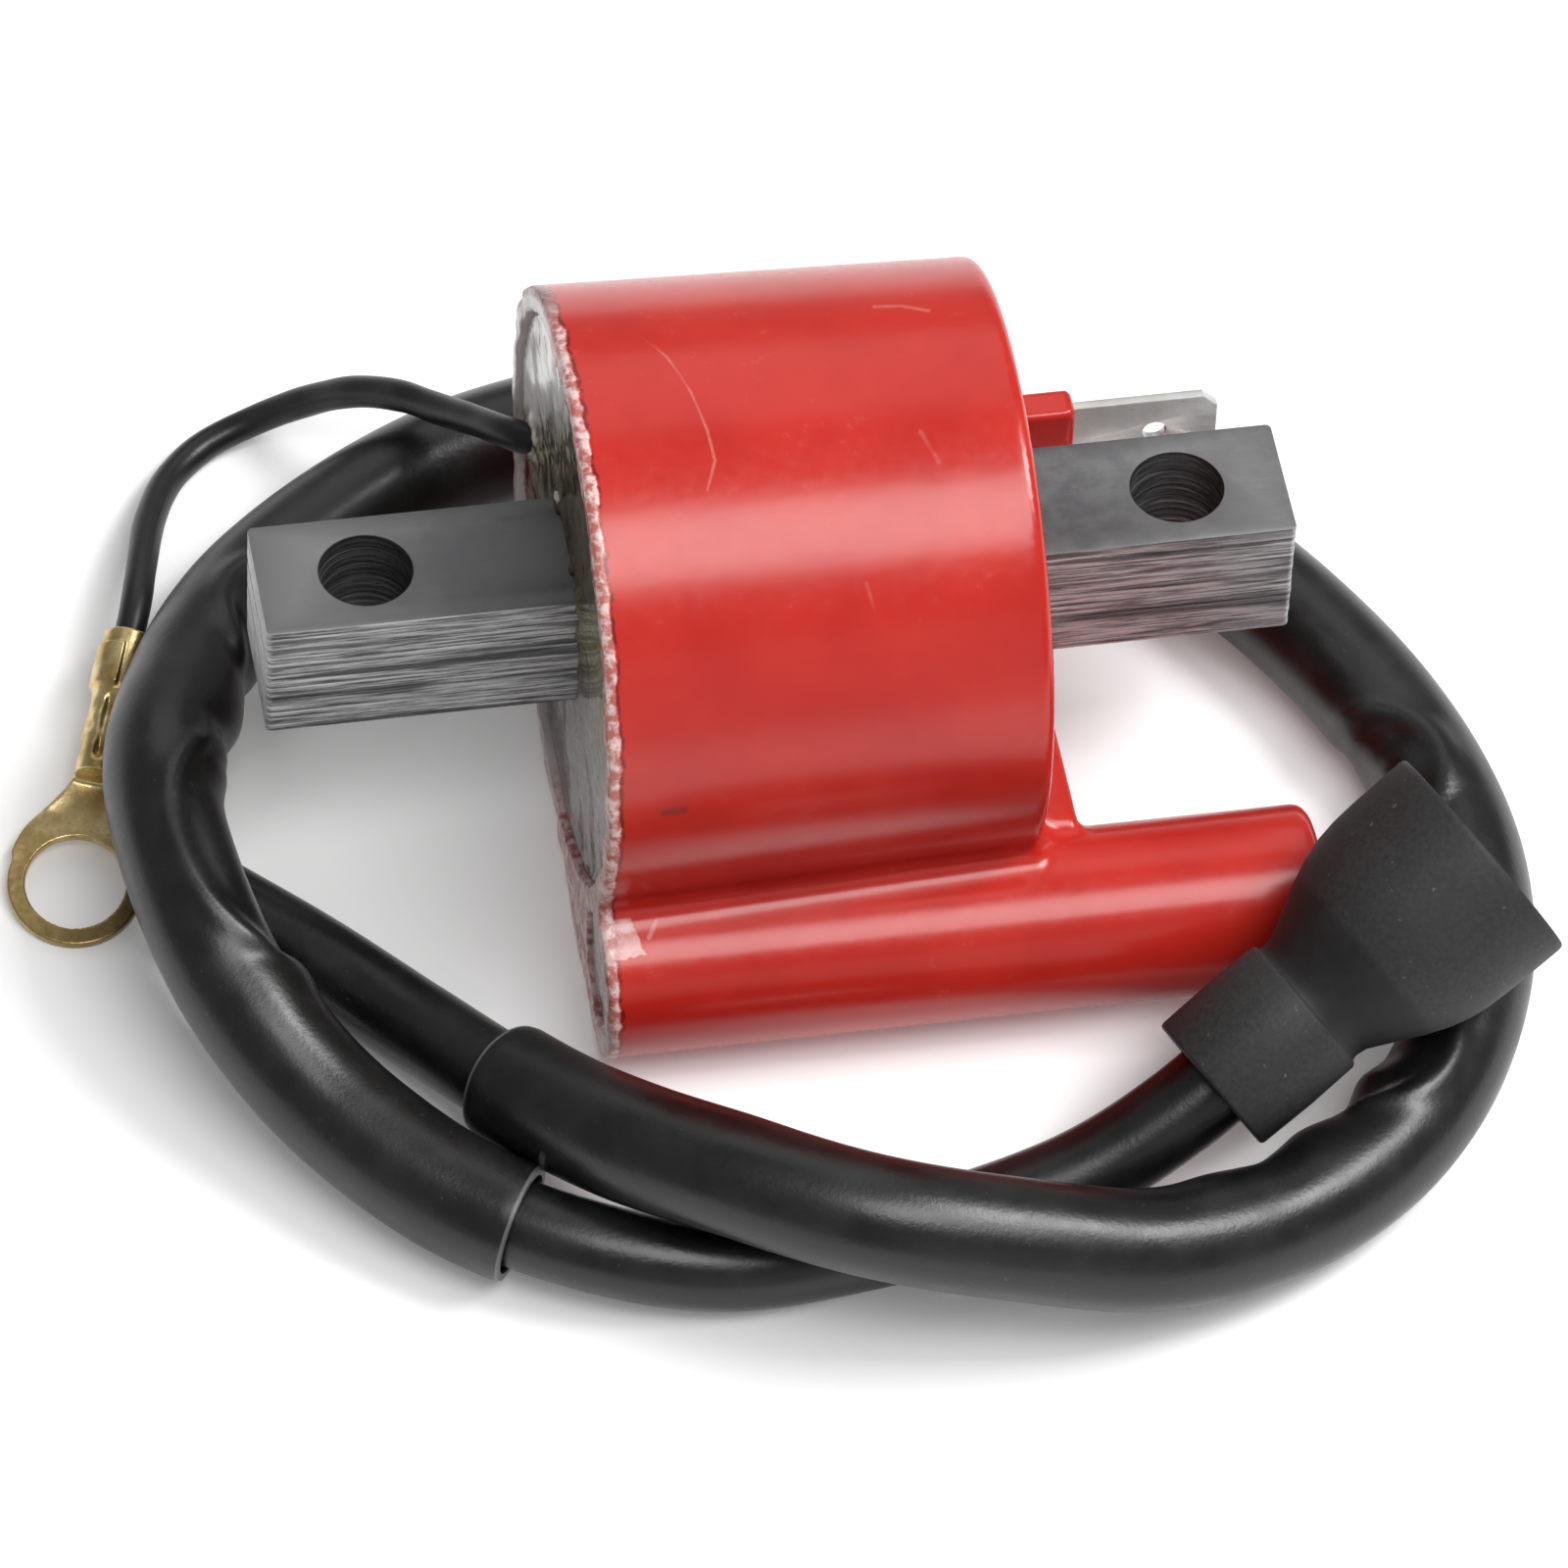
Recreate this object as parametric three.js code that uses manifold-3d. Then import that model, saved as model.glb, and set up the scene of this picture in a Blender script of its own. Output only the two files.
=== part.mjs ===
// External ignition coil of a small engine, with its high-voltage lead beside it.
// Millimetres, +Z up. X runs along the laminated core. The coil lies on the flat
// foot between its round case and its lead tower, and both leads lie on the floor.
import * as THREE from 'three';
import { mergeVertices } from 'three/addons/utils/BufferGeometryUtils.js';
import Module from 'manifold-3d';

const wasm = await Module();
wasm.setup();

// Driving dimensions
const CORE_LENGTH = 80;
const CORE_WIDTH = 11.1;
const SHEET_COUNT = 16;
const SHEET_THICKNESS = 0.64;
const SHEET_GAP = 0.055;
const MOUNT_HOLE_RADIUS = 3.6;
const MOUNT_HOLE_X = 31.6;

const CASE_LEFT = -16.5;
const CASE_RIGHT = 18;
const CASE_RADIUS = 24.2;
const CASE_CLOSED_RADIUS = 23.1;
const WALL = 2;
const END_WALL = 2.1;

const TOWER_RADIUS = 7;
const TOWER_END = 40;
const TOWER_OFFSET = 23;
const SOCKET_RADIUS = 4.9;
const SOCKET_BOTTOM = 21;
const TOWER_BORE = 4.4;
const TOWER_BORE_END = 17.5;
const CONTACT_TAIL_RADIUS = 1.2;

const RIB_START = 7.5;
const RIB_KNEE = 13.8;
const RIB_KNEE_STAND = 2.7;
const RIB_STAND = 3.9;
const RIB_THICKNESS = 4;
const BOSS_END = 25.7;
const BOSS_HALF_THICKNESS = 1.4;
const BOSS_HALF_WIDTH = 3.8;

// Where the high-voltage link crosses from the winding to the tower
const LINK_X = 11.6;
const LINK_RADIUS = 0.5;
const LINK_LENGTH = 7.6;

const TAB_WIDTH = 6.3;
const TAB_THICKNESS = 0.8;
const TAB_Y = 11.7;
const TAB_INNER_X = 15;
const TAB_END_X = 37.2;
const TAB_HOLE_X = 32.3;
const TAB_HOLE_OFFSET = -0.3;
const TAB_HOLE_RADIUS = 0.95;

const LEAD_RADIUS = 3.5;
const LEAD_BORE = 1.25;
const LEAD_CONDUCTOR_RADIUS = 0.8;
const SLEEVE_RADIUS = 4.75;
const SLEEVE_BORE = 4.05;
const WIRE_RADIUS = 1.25;
const WIRE_BORE = 0.8;
const WIRE_CONDUCTOR_RADIUS = 0.5;
const BOOT_LENGTH = 27.5;
const CLEARANCE = 0.3;

// The tower stands 45 degrees from the core's flats. Laid on the foot, the core's
// mounting holes therefore lean away from the upright by this angle.
const AXIS_DISTANCE = Math.hypot(TOWER_OFFSET, CASE_RADIUS - TOWER_RADIUS);
const TOWER_ANGLE = Math.atan2(CASE_RADIUS - TOWER_RADIUS, TOWER_OFFSET);
const CORE_LEAN = Math.PI / 4 - TOWER_ANGLE;

// The origin is under the middle of the coil itself, so the whole set is shifted in Y.
const BASE_SHIFT_Y = (TOWER_OFFSET + TOWER_RADIUS - CASE_RADIUS) / 2;

// The free end of the lead carries the rubber boot, which leans on the tower's end.
const BOOT_START = new THREE.Vector3(28.4, -41.0, 9.7);
const BOOT_MOUTH = new THREE.Vector3(50.6, -29.7, 20.5);
const BOOT_AXIS = BOOT_MOUTH.clone().sub(BOOT_START).normalize();

// Centre line of the high-voltage lead, from its terminal in the boot to its cut end
const LEAD_ROUTE = [
  [39.0, -35.6, 14.86],
  [32.4, -38.96, 11.65],
  [25.95, -42.25, 8.51],
  [18.5, -44.9, 5.6],
  [10.0, -46.7, 4.0],
  [0.5, -48.2, 3.6],
  [-10.5, -48.7, 3.7],
  [-21.0, -46.0, 4.8],
  [-30.0, -40.5, 5.1],
  [-37.5, -33.0, 6.2],
  [-43.5, -24.5, 9.2],
  [-47.0, -14.5, 12.4],
  [-47.5, -4.0, 12.0],
  [-44.2, 5.6, 9.2],
  [-38.8, 14.8, 6.0],
  [-31.0, 21.5, 4.9],
  [-21.5, 26.5, 4.8],
  [-11.0, 29.0, 4.8],
  [0.0, 29.5, 4.8],
  [10.5, 27.5, 4.8],
  [20.5, 24.0, 4.8],
  [30.0, 18.0, 4.8],
  [38.0, 11.0, 4.8],
  [44.5, 2.5, 4.8],
  [49.5, -7.0, 4.8],
  [52.5, -17.5, 4.8],
  [52.0, -28.0, 4.8],
  [48.0, -38.0, 4.8],
  [41.0, -46.0, 5.0],
  [31.5, -51.5, 6.0],
  [21.5, -54.0, 8.2],
  [11.0, -53.5, 11.1],
  [0.5, -51.3, 13.0],
  [-9.0, -46.3, 12.5],
  [-17.0, -40.5, 10.3],
  [-23.7, -33.2, 7.0],
  [-30.5, -24.4, 3.9],
  [-37.5, -17.2, 3.6],
  [-45.0, -10.5, 3.6],
];
const LEAD_STEPS = 40;
const SLEEVE_FIRST_STEP = 7;
const SLEEVE_LAST_STEP = 37;

// Centre line of the ground wire, from the potted face to its ring terminal
const WIRE_ROUTE = [
  [-13.4, 18.0, 19.5],
  [-15.4, 18.0, 19.5],
  [-17.2, 19.3, 19.0],
  [-19.3, 22.4, 16.6],
  [-21.6, 25.6, 14.0],
  [-24.2, 28.7, 11.9],
  [-27.4, 31.4, 9.2],
  [-31.0, 33.4, 5.6],
  [-35.0, 34.1, 2.6],
  [-39.0, 32.9, 1.6],
  [-42.3, 29.8, 2.0],
  [-44.5, 25.1, 3.5],
  [-45.9, 19.8, 5.2],
  [-47.0, 15.5, 5.8],
  [-47.87, 12.86, 5.5],
  [-49.16, 9.12, 4.96],
  [-50.4, 5.55, 4.43],
];
const WIRE_STEPS = 28;
const SPLICED_LENGTH = 0.9;
const STRIPPED_LENGTH = 3.4;

// Colours
const RED_PLASTIC = { color: 0xc93a30, roughness: 0.35, metalness: 0 };
const RESIN = { color: 0x9a9684, roughness: 0.25, metalness: 0 };
const CORE_STEEL = { color: 0x6d6f72, roughness: 0.55, metalness: 0.9 };
const TINNED_STEEL = { color: 0xb4b4b0, roughness: 0.35, metalness: 1 };
const BRASS = { color: 0xb8963f, roughness: 0.35, metalness: 1 };
const COPPER = { color: 0xb5632f, roughness: 0.4, metalness: 1 };
const RUBBER = { color: 0x1d1d1e, roughness: 0.85, metalness: 0 };
const VINYL = { color: 0x141415, roughness: 0.45, metalness: 0 };
const NYLON = { color: 0xd9d2bd, roughness: 0.6, metalness: 0 };
const PAPER = { color: 0x9c8c66, roughness: 0.9, metalness: 0 };

const coil = new THREE.Group();
coil.position.y = BASE_SHIFT_Y;

// Core, winding and terminal pieces sit square to the core, on its axis.
const coreFrame = new THREE.Group();
coreFrame.position.z = CASE_RADIUS;
coreFrame.rotation.x = -CORE_LEAN;
coil.add(coreFrame);

function addPiece(parent, name, geometry, finish) {
  const mesh = new THREE.Mesh(geometry, new THREE.MeshStandardMaterial(finish));
  mesh.name = name;
  parent.add(mesh);
  return mesh;
}

// A solid or ring turned about X: the profile is a list of [x, radius] points, in
// order around the section, closed by the axis or by repeating its first point.
function turned(profile, segments) {
  const points = profile.map(([x, radius]) => new THREE.Vector2(radius, x));
  const geometry = new THREE.LatheGeometry(points, segments);
  geometry.rotateZ(-Math.PI / 2);
  return geometry;
}

function ring(x0, x1, innerRadius, outerRadius, segments) {
  const corners = [[x0, innerRadius], [x0, outerRadius], [x1, outerRadius], [x1, innerRadius]];
  return turned([...corners, corners[0]], segments);
}

function rod(x0, x1, radius, segments) {
  return turned([[x0, 0], [x0, radius], [x1, radius], [x1, 0]], segments);
}

// Profile points of a rounded outer edge at the end x of a turned piece
function endRound(x, radius, size, steps) {
  const points = [];
  for (let i = 0; i <= steps; i += 1) {
    const angle = (i / steps) * (Math.PI / 2);
    points.push([x - size + size * Math.sin(angle), radius - size + size * Math.cos(angle)]);
  }
  return points;
}

function roundedSquare(half, cornerRadius, cornerSteps, ShapeType = THREE.Shape) {
  const outline = new ShapeType();
  const straight = half - cornerRadius;
  const centres = [[straight, straight], [-straight, straight], [-straight, -straight], [straight, -straight]];
  centres.forEach(([cx, cy], corner) => {
    for (let i = 0; i <= cornerSteps; i += 1) {
      const angle = (corner + i / cornerSteps) * (Math.PI / 2);
      const px = cx + cornerRadius * Math.cos(angle);
      const py = cy + cornerRadius * Math.sin(angle);
      if (corner === 0 && i === 0) {
        outline.moveTo(px, py);
      } else {
        outline.lineTo(px, py);
      }
    }
  });
  outline.closePath();
  return outline;
}

// Extrudes a section drawn in the YZ plane from x0 to x1.
function alongX(shape, x0, x1) {
  const geometry = new THREE.ExtrudeGeometry(shape, { depth: x1 - x0, bevelEnabled: false });
  geometry.applyMatrix4(new THREE.Matrix4().makeBasis(
    new THREE.Vector3(0, 1, 0),
    new THREE.Vector3(0, 0, 1),
    new THREE.Vector3(1, 0, 0),
  ));
  geometry.translate(x0, 0, 0);
  return geometry;
}

function squareTube(innerHalf, outerHalf, x0, x1, cornerRadius, cornerSteps) {
  const shape = roundedSquare(outerHalf, cornerRadius, cornerSteps);
  const hole = roundedSquare(innerHalf, 0.4, 1, THREE.Path);
  shape.holes.push(hole);
  return alongX(shape, x0, x1);
}

function box(x0, x1, y0, y1, z0, z1) {
  const geometry = new THREE.BoxGeometry(x1 - x0, y1 - y0, z1 - z0);
  geometry.translate((x0 + x1) / 2, (y0 + y1) / 2, (z0 + z1) / 2);
  return geometry;
}

// Booleans
function toManifold(geometry) {
  const bare = new THREE.BufferGeometry();
  bare.setAttribute('position', geometry.getAttribute('position').clone());
  if (geometry.index) {
    bare.setIndex(geometry.index.clone());
  }
  const merged = mergeVertices(bare, 1e-4);
  return new wasm.Manifold(new wasm.Mesh({
    numProp: 3,
    vertProperties: new Float32Array(merged.getAttribute('position').array),
    triVerts: new Uint32Array(merged.index.array),
  }));
}

function fromManifold(solid) {
  const mesh = solid.getMesh();
  const geometry = new THREE.BufferGeometry();
  geometry.setAttribute('position', new THREE.BufferAttribute(new Float32Array(mesh.vertProperties), 3));
  geometry.setIndex(new THREE.BufferAttribute(new Uint32Array(mesh.triVerts), 1));
  geometry.computeVertexNormals();
  return geometry;
}

function cut(geometry, cutters) {
  let solid = toManifold(geometry);
  for (const cutter of cutters) {
    solid = solid.subtract(toManifold(cutter));
  }
  return fromManifold(solid);
}

// Moves a shape drawn square to the core into the coil's lying position.
function leaned(geometry) {
  geometry.rotateX(-CORE_LEAN);
  geometry.translate(0, 0, CASE_RADIUS);
  return geometry;
}

function onCaseAxis(geometry) {
  geometry.translate(0, 0, CASE_RADIUS);
  return geometry;
}

function onTowerAxis(geometry) {
  geometry.translate(0, -TOWER_OFFSET, TOWER_RADIUS);
  return geometry;
}

// Turns a shape so that its own -Y points from the case's axis towards the tower.
function towardsTower(geometry) {
  geometry.rotateX(TOWER_ANGLE);
  geometry.translate(0, 0, CASE_RADIUS);
  return geometry;
}

// A rod across the case at LINK_X, from y to y + length in towardsTower's own frame
function upright(radius, length, y) {
  const geometry = new THREE.CylinderGeometry(radius, radius, length, 12);
  geometry.translate(LINK_X, y + length / 2, 0);
  return geometry;
}

function caseRadiusAt(x) {
  const share = (x - CASE_LEFT) / (CASE_RIGHT - CASE_LEFT);
  return CASE_RADIUS + (CASE_CLOSED_RADIUS - CASE_RADIUS) * share;
}

// Red moulded case: a tapered cup, open on the left, with the tower along its side
function buildCase() {
  const SEGMENTS = 48;
  const rimChamfer = 0.5;
  const cup = onCaseAxis(turned([
    [CASE_LEFT, 0],
    [CASE_LEFT, CASE_RADIUS - rimChamfer],
    [CASE_LEFT + 0.8, CASE_RADIUS],
    ...endRound(CASE_RIGHT, CASE_CLOSED_RADIUS, 1, 3),
    [CASE_RIGHT, 0],
  ], SEGMENTS));
  const tower = onTowerAxis(turned([
    [CASE_LEFT, 0],
    [CASE_LEFT, TOWER_RADIUS],
    ...endRound(TOWER_END, TOWER_RADIUS, 1.2, 3),
    [TOWER_END, 0],
  ], 32));

  // The foot fills the space under the case, down to the tower's lowest line.
  const footOutline = new THREE.Shape();
  footOutline.moveTo(0, 0);
  footOutline.lineTo(0, CASE_RADIUS);
  footOutline.lineTo(-TOWER_OFFSET, TOWER_RADIUS);
  footOutline.lineTo(-TOWER_OFFSET, 0);
  footOutline.closePath();
  const foot = alongX(footOutline, CASE_LEFT, CASE_RIGHT);

  // Upright rib on the closed end, from beside the core into the tower
  const ribRoot = CASE_RIGHT - 1;
  const ribEnd = -AXIS_DISTANCE + 3;
  const ribOutline = new THREE.Shape();
  ribOutline.moveTo(ribRoot, -RIB_START);
  ribOutline.lineTo(CASE_RIGHT + 0.1, -RIB_START);
  ribOutline.lineTo(CASE_RIGHT + RIB_KNEE_STAND, -RIB_KNEE);
  ribOutline.lineTo(CASE_RIGHT + RIB_STAND, -AXIS_DISTANCE + TOWER_RADIUS);
  ribOutline.lineTo(CASE_RIGHT + RIB_STAND, ribEnd);
  ribOutline.lineTo(ribRoot, ribEnd);
  ribOutline.closePath();
  const rib = new THREE.ExtrudeGeometry(ribOutline, { depth: RIB_THICKNESS, bevelEnabled: false });
  rib.translate(0, 0, -RIB_THICKNESS / 2);

  const boss = box(CASE_RIGHT - 1, BOSS_END, TAB_Y - BOSS_HALF_THICKNESS, TAB_Y + BOSS_HALF_THICKNESS,
    -BOSS_HALF_WIDTH, BOSS_HALF_WIDTH);

  let solid = toManifold(cup)
    .add(toManifold(tower))
    .add(toManifold(foot))
    .add(toManifold(towardsTower(rib)))
    .add(toManifold(leaned(boss)));

  const cavityEnd = CASE_RIGHT - END_WALL;
  const cavity = onCaseAxis(turned([
    [CASE_LEFT - 1, 0],
    [CASE_LEFT - 1, caseRadiusAt(CASE_LEFT) - WALL],
    [cavityEnd, caseRadiusAt(cavityEnd) - WALL],
    [cavityEnd, 0],
  ], SEGMENTS));
  const half = CORE_WIDTH / 2 + CLEARANCE;
  const coreHole = leaned(box(cavityEnd - 1, CASE_RIGHT + 1, -half, half, -half, half));
  const tabY = TAB_THICKNESS / 2 + CLEARANCE;
  const tabZ = TAB_WIDTH / 2 + CLEARANCE;
  const tabSlot = leaned(box(cavityEnd - 1, BOSS_END + 1, TAB_Y - tabY, TAB_Y + tabY, -tabZ, tabZ));
  const socket = onTowerAxis(rod(SOCKET_BOTTOM, TOWER_END + 1, SOCKET_RADIUS, 24));
  const tailHole = onTowerAxis(rod(TOWER_BORE_END - 1, SOCKET_BOTTOM + 1, CONTACT_TAIL_RADIUS + 0.4, 12));
  const towerBore = onTowerAxis(rod(CASE_LEFT - 1, TOWER_BORE_END, TOWER_BORE, 24));
  const linkHole = upright(LINK_RADIUS + 0.9, 12, -AXIS_DISTANCE);

  for (const cutter of [cavity, coreHole, tabSlot, socket, tailHole, towerBore, towardsTower(linkHole)]) {
    solid = solid.subtract(toManifold(cutter));
  }
  return fromManifold(solid);
}

addPiece(coil, 'coil_case', buildCase(), RED_PLASTIC);

// Potting: a disc that closes the open end, with a skirt round the windings
const RESIN_FACE = CASE_LEFT + 0.9;
const RESIN_BACK = -13.4;
const SKIRT_INNER = 20.2;
const INSULATOR_HALF = 6.3;

function buildPotting() {
  const skirtEnd = CASE_RIGHT - END_WALL - CLEARANCE;
  const skin = WALL + 0.25;
  const body = onCaseAxis(turned([
    [RESIN_FACE, 0],
    [RESIN_FACE, caseRadiusAt(RESIN_FACE) - skin],
    [skirtEnd, caseRadiusAt(skirtEnd) - skin],
    [skirtEnd, SKIRT_INNER],
    [RESIN_BACK, SKIRT_INNER],
    [RESIN_BACK, 0],
  ], 48));
  const half = INSULATOR_HALF + CLEARANCE;
  const coreHole = leaned(box(RESIN_FACE - 1, RESIN_BACK + 1, -half, half, -half, half));
  const [, wireY, wireZ] = WIRE_ROUTE[0];
  const wireHole = rod(RESIN_FACE - 1, RESIN_BACK + 1, WIRE_RADIUS + CLEARANCE, 12);
  wireHole.translate(0, wireY, wireZ);
  const linkHole = upright(LINK_RADIUS + 0.6, 8, -SKIRT_INNER - 4.8);
  return cut(body, [coreHole, wireHole, towardsTower(linkHole)]);
}

addPiece(coil, 'potting_resin', buildPotting(), RESIN);
addPiece(coil, 'tower_potting', onTowerAxis(rod(CASE_LEFT + 0.4, 9, TOWER_BORE - 0.25, 20)), RESIN);

// Laminated core: punched sheets, each with a mounting hole at both ends
function buildSheet() {
  const cornerCut = 0.7;
  const halfLength = CORE_LENGTH / 2;
  const halfWidth = CORE_WIDTH / 2;
  const outline = new THREE.Shape();
  outline.moveTo(-halfLength + cornerCut, -halfWidth);
  outline.lineTo(halfLength - cornerCut, -halfWidth);
  outline.lineTo(halfLength, -halfWidth + cornerCut);
  outline.lineTo(halfLength, halfWidth - cornerCut);
  outline.lineTo(halfLength - cornerCut, halfWidth);
  outline.lineTo(-halfLength + cornerCut, halfWidth);
  outline.lineTo(-halfLength, halfWidth - cornerCut);
  outline.lineTo(-halfLength, -halfWidth + cornerCut);
  outline.closePath();
  for (const x of [-MOUNT_HOLE_X, MOUNT_HOLE_X]) {
    const hole = new THREE.Path();
    hole.absarc(x, 0, MOUNT_HOLE_RADIUS, 0, Math.PI * 2, true);
    outline.holes.push(hole);
  }
  const options = { depth: SHEET_THICKNESS, bevelEnabled: false, curveSegments: 12 };
  return new THREE.ExtrudeGeometry(outline, options);
}

const SHEET_PITCH = SHEET_THICKNESS + SHEET_GAP;
const STACK_HEIGHT = SHEET_COUNT * SHEET_PITCH - SHEET_GAP;
for (let i = 0; i < SHEET_COUNT; i += 1) {
  const name = `core_sheet_${String(i + 1).padStart(2, '0')}`;
  const sheet = addPiece(coreFrame, name, buildSheet(), CORE_STEEL);
  sheet.position.z = -STACK_HEIGHT / 2 + i * SHEET_PITCH;
}

// Insulator, primary bobbin and primary winding, square round the core
const BOBBIN_LEFT = -11.8;
const BOBBIN_RIGHT = 14.2;
const FLANGE = 1;
const FLANGE_RADIUS = 13.3;
const INSULATOR_BORE_HALF = 5.8;
const PRIMARY_TUBE_HALF = 7.6;
const PRIMARY_WINDING_HALF = 10.3;
const PRIMARY_WIRE_R = 9.2;
const WINDING_PAPER_RADIUS = 13.75;

addPiece(coreFrame, 'core_insulator',
  squareTube(INSULATOR_BORE_HALF, INSULATOR_HALF, RESIN_FACE, CASE_RIGHT - END_WALL - CLEARANCE, 0.9, 1), PAPER);

function buildPrimaryBobbin() {
  let solid = toManifold(alongX(roundedSquare(PRIMARY_TUBE_HALF, 1, 2), BOBBIN_LEFT, BOBBIN_RIGHT));
  for (const x of [BOBBIN_LEFT, BOBBIN_RIGHT - FLANGE]) {
    solid = solid.add(toManifold(rod(x, x + FLANGE, FLANGE_RADIUS, 32)));
  }
  const bore = INSULATOR_HALF + 0.25;
  solid = solid.subtract(toManifold(box(BOBBIN_LEFT - 1, BOBBIN_RIGHT + 1, -bore, bore, -bore, bore)));
  for (const x of [BOBBIN_LEFT - 1, BOBBIN_RIGHT - FLANGE - 0.4]) {
    const wireHole = rod(x, x + FLANGE + 1.4, 0.8, 8);
    wireHole.translate(0, PRIMARY_WIRE_R, 0);
    solid = solid.subtract(toManifold(wireHole));
  }
  return fromManifold(solid);
}

addPiece(coreFrame, 'primary_bobbin', buildPrimaryBobbin(), NYLON);

function buildPrimaryWinding() {
  const shape = roundedSquare(PRIMARY_WINDING_HALF, 4.2, 4);
  shape.holes.push(roundedSquare(PRIMARY_TUBE_HALF + CLEARANCE, 1.2, 2, THREE.Path));
  return alongX(shape, BOBBIN_LEFT + FLANGE + CLEARANCE, BOBBIN_RIGHT - FLANGE - CLEARANCE);
}

addPiece(coreFrame, 'primary_winding', buildPrimaryWinding(), COPPER);
addPiece(coreFrame, 'winding_paper', ring(BOBBIN_LEFT + 0.2, BOBBIN_RIGHT - 0.2,
  WINDING_PAPER_RADIUS, WINDING_PAPER_RADIUS + 0.3, 32), PAPER);

// Secondary bobbin and its winding, in five sections to hold the high voltage apart
const SECTION_COUNT = 5;
const SECONDARY_FLANGE = 0.8;
const SECONDARY_INNER = 14.4;
const SECONDARY_TUBE = 15.2;
const SECONDARY_FLANGE_RADIUS = 19.8;
const SECONDARY_WINDING_RADIUS = 19;
const SECTION_PITCH = (BOBBIN_RIGHT - BOBBIN_LEFT - SECONDARY_FLANGE) / SECTION_COUNT;

function buildSecondaryBobbin() {
  const profile = [[BOBBIN_LEFT, SECONDARY_INNER]];
  for (let i = 0; i <= SECTION_COUNT; i += 1) {
    const x = BOBBIN_LEFT + i * SECTION_PITCH;
    if (i > 0) {
      profile.push([x, SECONDARY_TUBE]);
    }
    profile.push([x, SECONDARY_FLANGE_RADIUS], [x + SECONDARY_FLANGE, SECONDARY_FLANGE_RADIUS]);
    if (i < SECTION_COUNT) {
      profile.push([x + SECONDARY_FLANGE, SECONDARY_TUBE]);
    }
  }
  profile.push([BOBBIN_RIGHT, SECONDARY_INNER], [BOBBIN_LEFT, SECONDARY_INNER]);
  return turned(profile, 28);
}

addPiece(coreFrame, 'secondary_bobbin', buildSecondaryBobbin(), NYLON);
for (let i = 0; i < SECTION_COUNT; i += 1) {
  const x0 = BOBBIN_LEFT + i * SECTION_PITCH + SECONDARY_FLANGE + CLEARANCE;
  const x1 = BOBBIN_LEFT + (i + 1) * SECTION_PITCH - CLEARANCE;
  const section = ring(x0, x1, SECONDARY_TUBE + CLEARANCE, SECONDARY_WINDING_RADIUS, 28);
  addPiece(coreFrame, `secondary_winding_${i + 1}`, section, COPPER);
}

// Flat spade terminal, held in the boss beside the core
function buildSpade() {
  const half = TAB_WIDTH / 2;
  const corner = 1.2;
  const outline = new THREE.Shape();
  outline.moveTo(TAB_INNER_X, -half);
  outline.lineTo(TAB_END_X - corner, -half);
  outline.lineTo(TAB_END_X, -half + corner);
  outline.lineTo(TAB_END_X, half - corner);
  outline.lineTo(TAB_END_X - corner, half);
  outline.lineTo(TAB_INNER_X, half);
  outline.closePath();
  const hole = new THREE.Path();
  hole.absarc(TAB_HOLE_X, TAB_HOLE_OFFSET, TAB_HOLE_RADIUS, 0, Math.PI * 2, true);
  outline.holes.push(hole);
  const options = { depth: TAB_THICKNESS, bevelEnabled: false, curveSegments: 12 };
  const geometry = new THREE.ExtrudeGeometry(outline, options);
  geometry.rotateX(Math.PI / 2);
  geometry.translate(0, TAB_Y + TAB_THICKNESS / 2, 0);
  return geometry;
}

addPiece(coreFrame, 'spade_terminal', buildSpade(), TINNED_STEEL);

// Routes of wires and leads
function circleSection(radius, sides, holeRadius = 0, holeSides = 6) {
  const section = new THREE.Shape();
  const hole = new THREE.Path();
  for (let i = 0; i < sides; i += 1) {
    const angle = (i / sides) * Math.PI * 2;
    const point = [radius * Math.cos(angle), radius * Math.sin(angle)];
    section[i === 0 ? 'moveTo' : 'lineTo'](...point);
  }
  section.closePath();
  if (holeRadius > 0) {
    for (let i = 0; i < holeSides; i += 1) {
      const angle = (-i / holeSides) * Math.PI * 2;
      const point = [holeRadius * Math.cos(angle), holeRadius * Math.sin(angle)];
      hole[i === 0 ? 'moveTo' : 'lineTo'](...point);
    }
    hole.closePath();
    section.holes.push(hole);
  }
  return section;
}

function routeCurve(points) {
  const vectors = points.map((point) => new THREE.Vector3(...point));
  const curve = new THREE.CatmullRomCurve3(vectors, false, 'centripetal');
  curve.arcLengthDivisions = 2000;
  return curve;
}

// Part of a longer curve, from one share of its length to another
class Stretch extends THREE.Curve {
  constructor(whole, from, to) {
    super();
    this.whole = whole;
    this.from = from;
    this.to = to;
    this.arcLengthDivisions = 2000;
  }

  getPoint(t, target = new THREE.Vector3()) {
    return this.whole.getPointAt(this.from + (this.to - this.from) * t, target);
  }
}

function tube(curve, steps, section) {
  return new THREE.ExtrudeGeometry(section, { steps, extrudePath: curve, bevelEnabled: false });
}

function wirePiece(parent, name, points, radius, steps) {
  addPiece(parent, name, tube(routeCurve(points), steps, circleSection(radius, 6)), COPPER);
}

// Short wires inside the potting
wirePiece(coreFrame, 'primary_start_wire', [
  [BOBBIN_RIGHT - FLANGE - 0.15, PRIMARY_WIRE_R, 0],
  [BOBBIN_RIGHT + 0.5, PRIMARY_WIRE_R, 0],
  [BOBBIN_RIGHT + 1.1, PRIMARY_WIRE_R + 0.5, 0],
  [BOBBIN_RIGHT + 1.2, TAB_Y - TAB_THICKNESS / 2 - CLEARANCE, 0],
], 0.4, 6);

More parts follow.
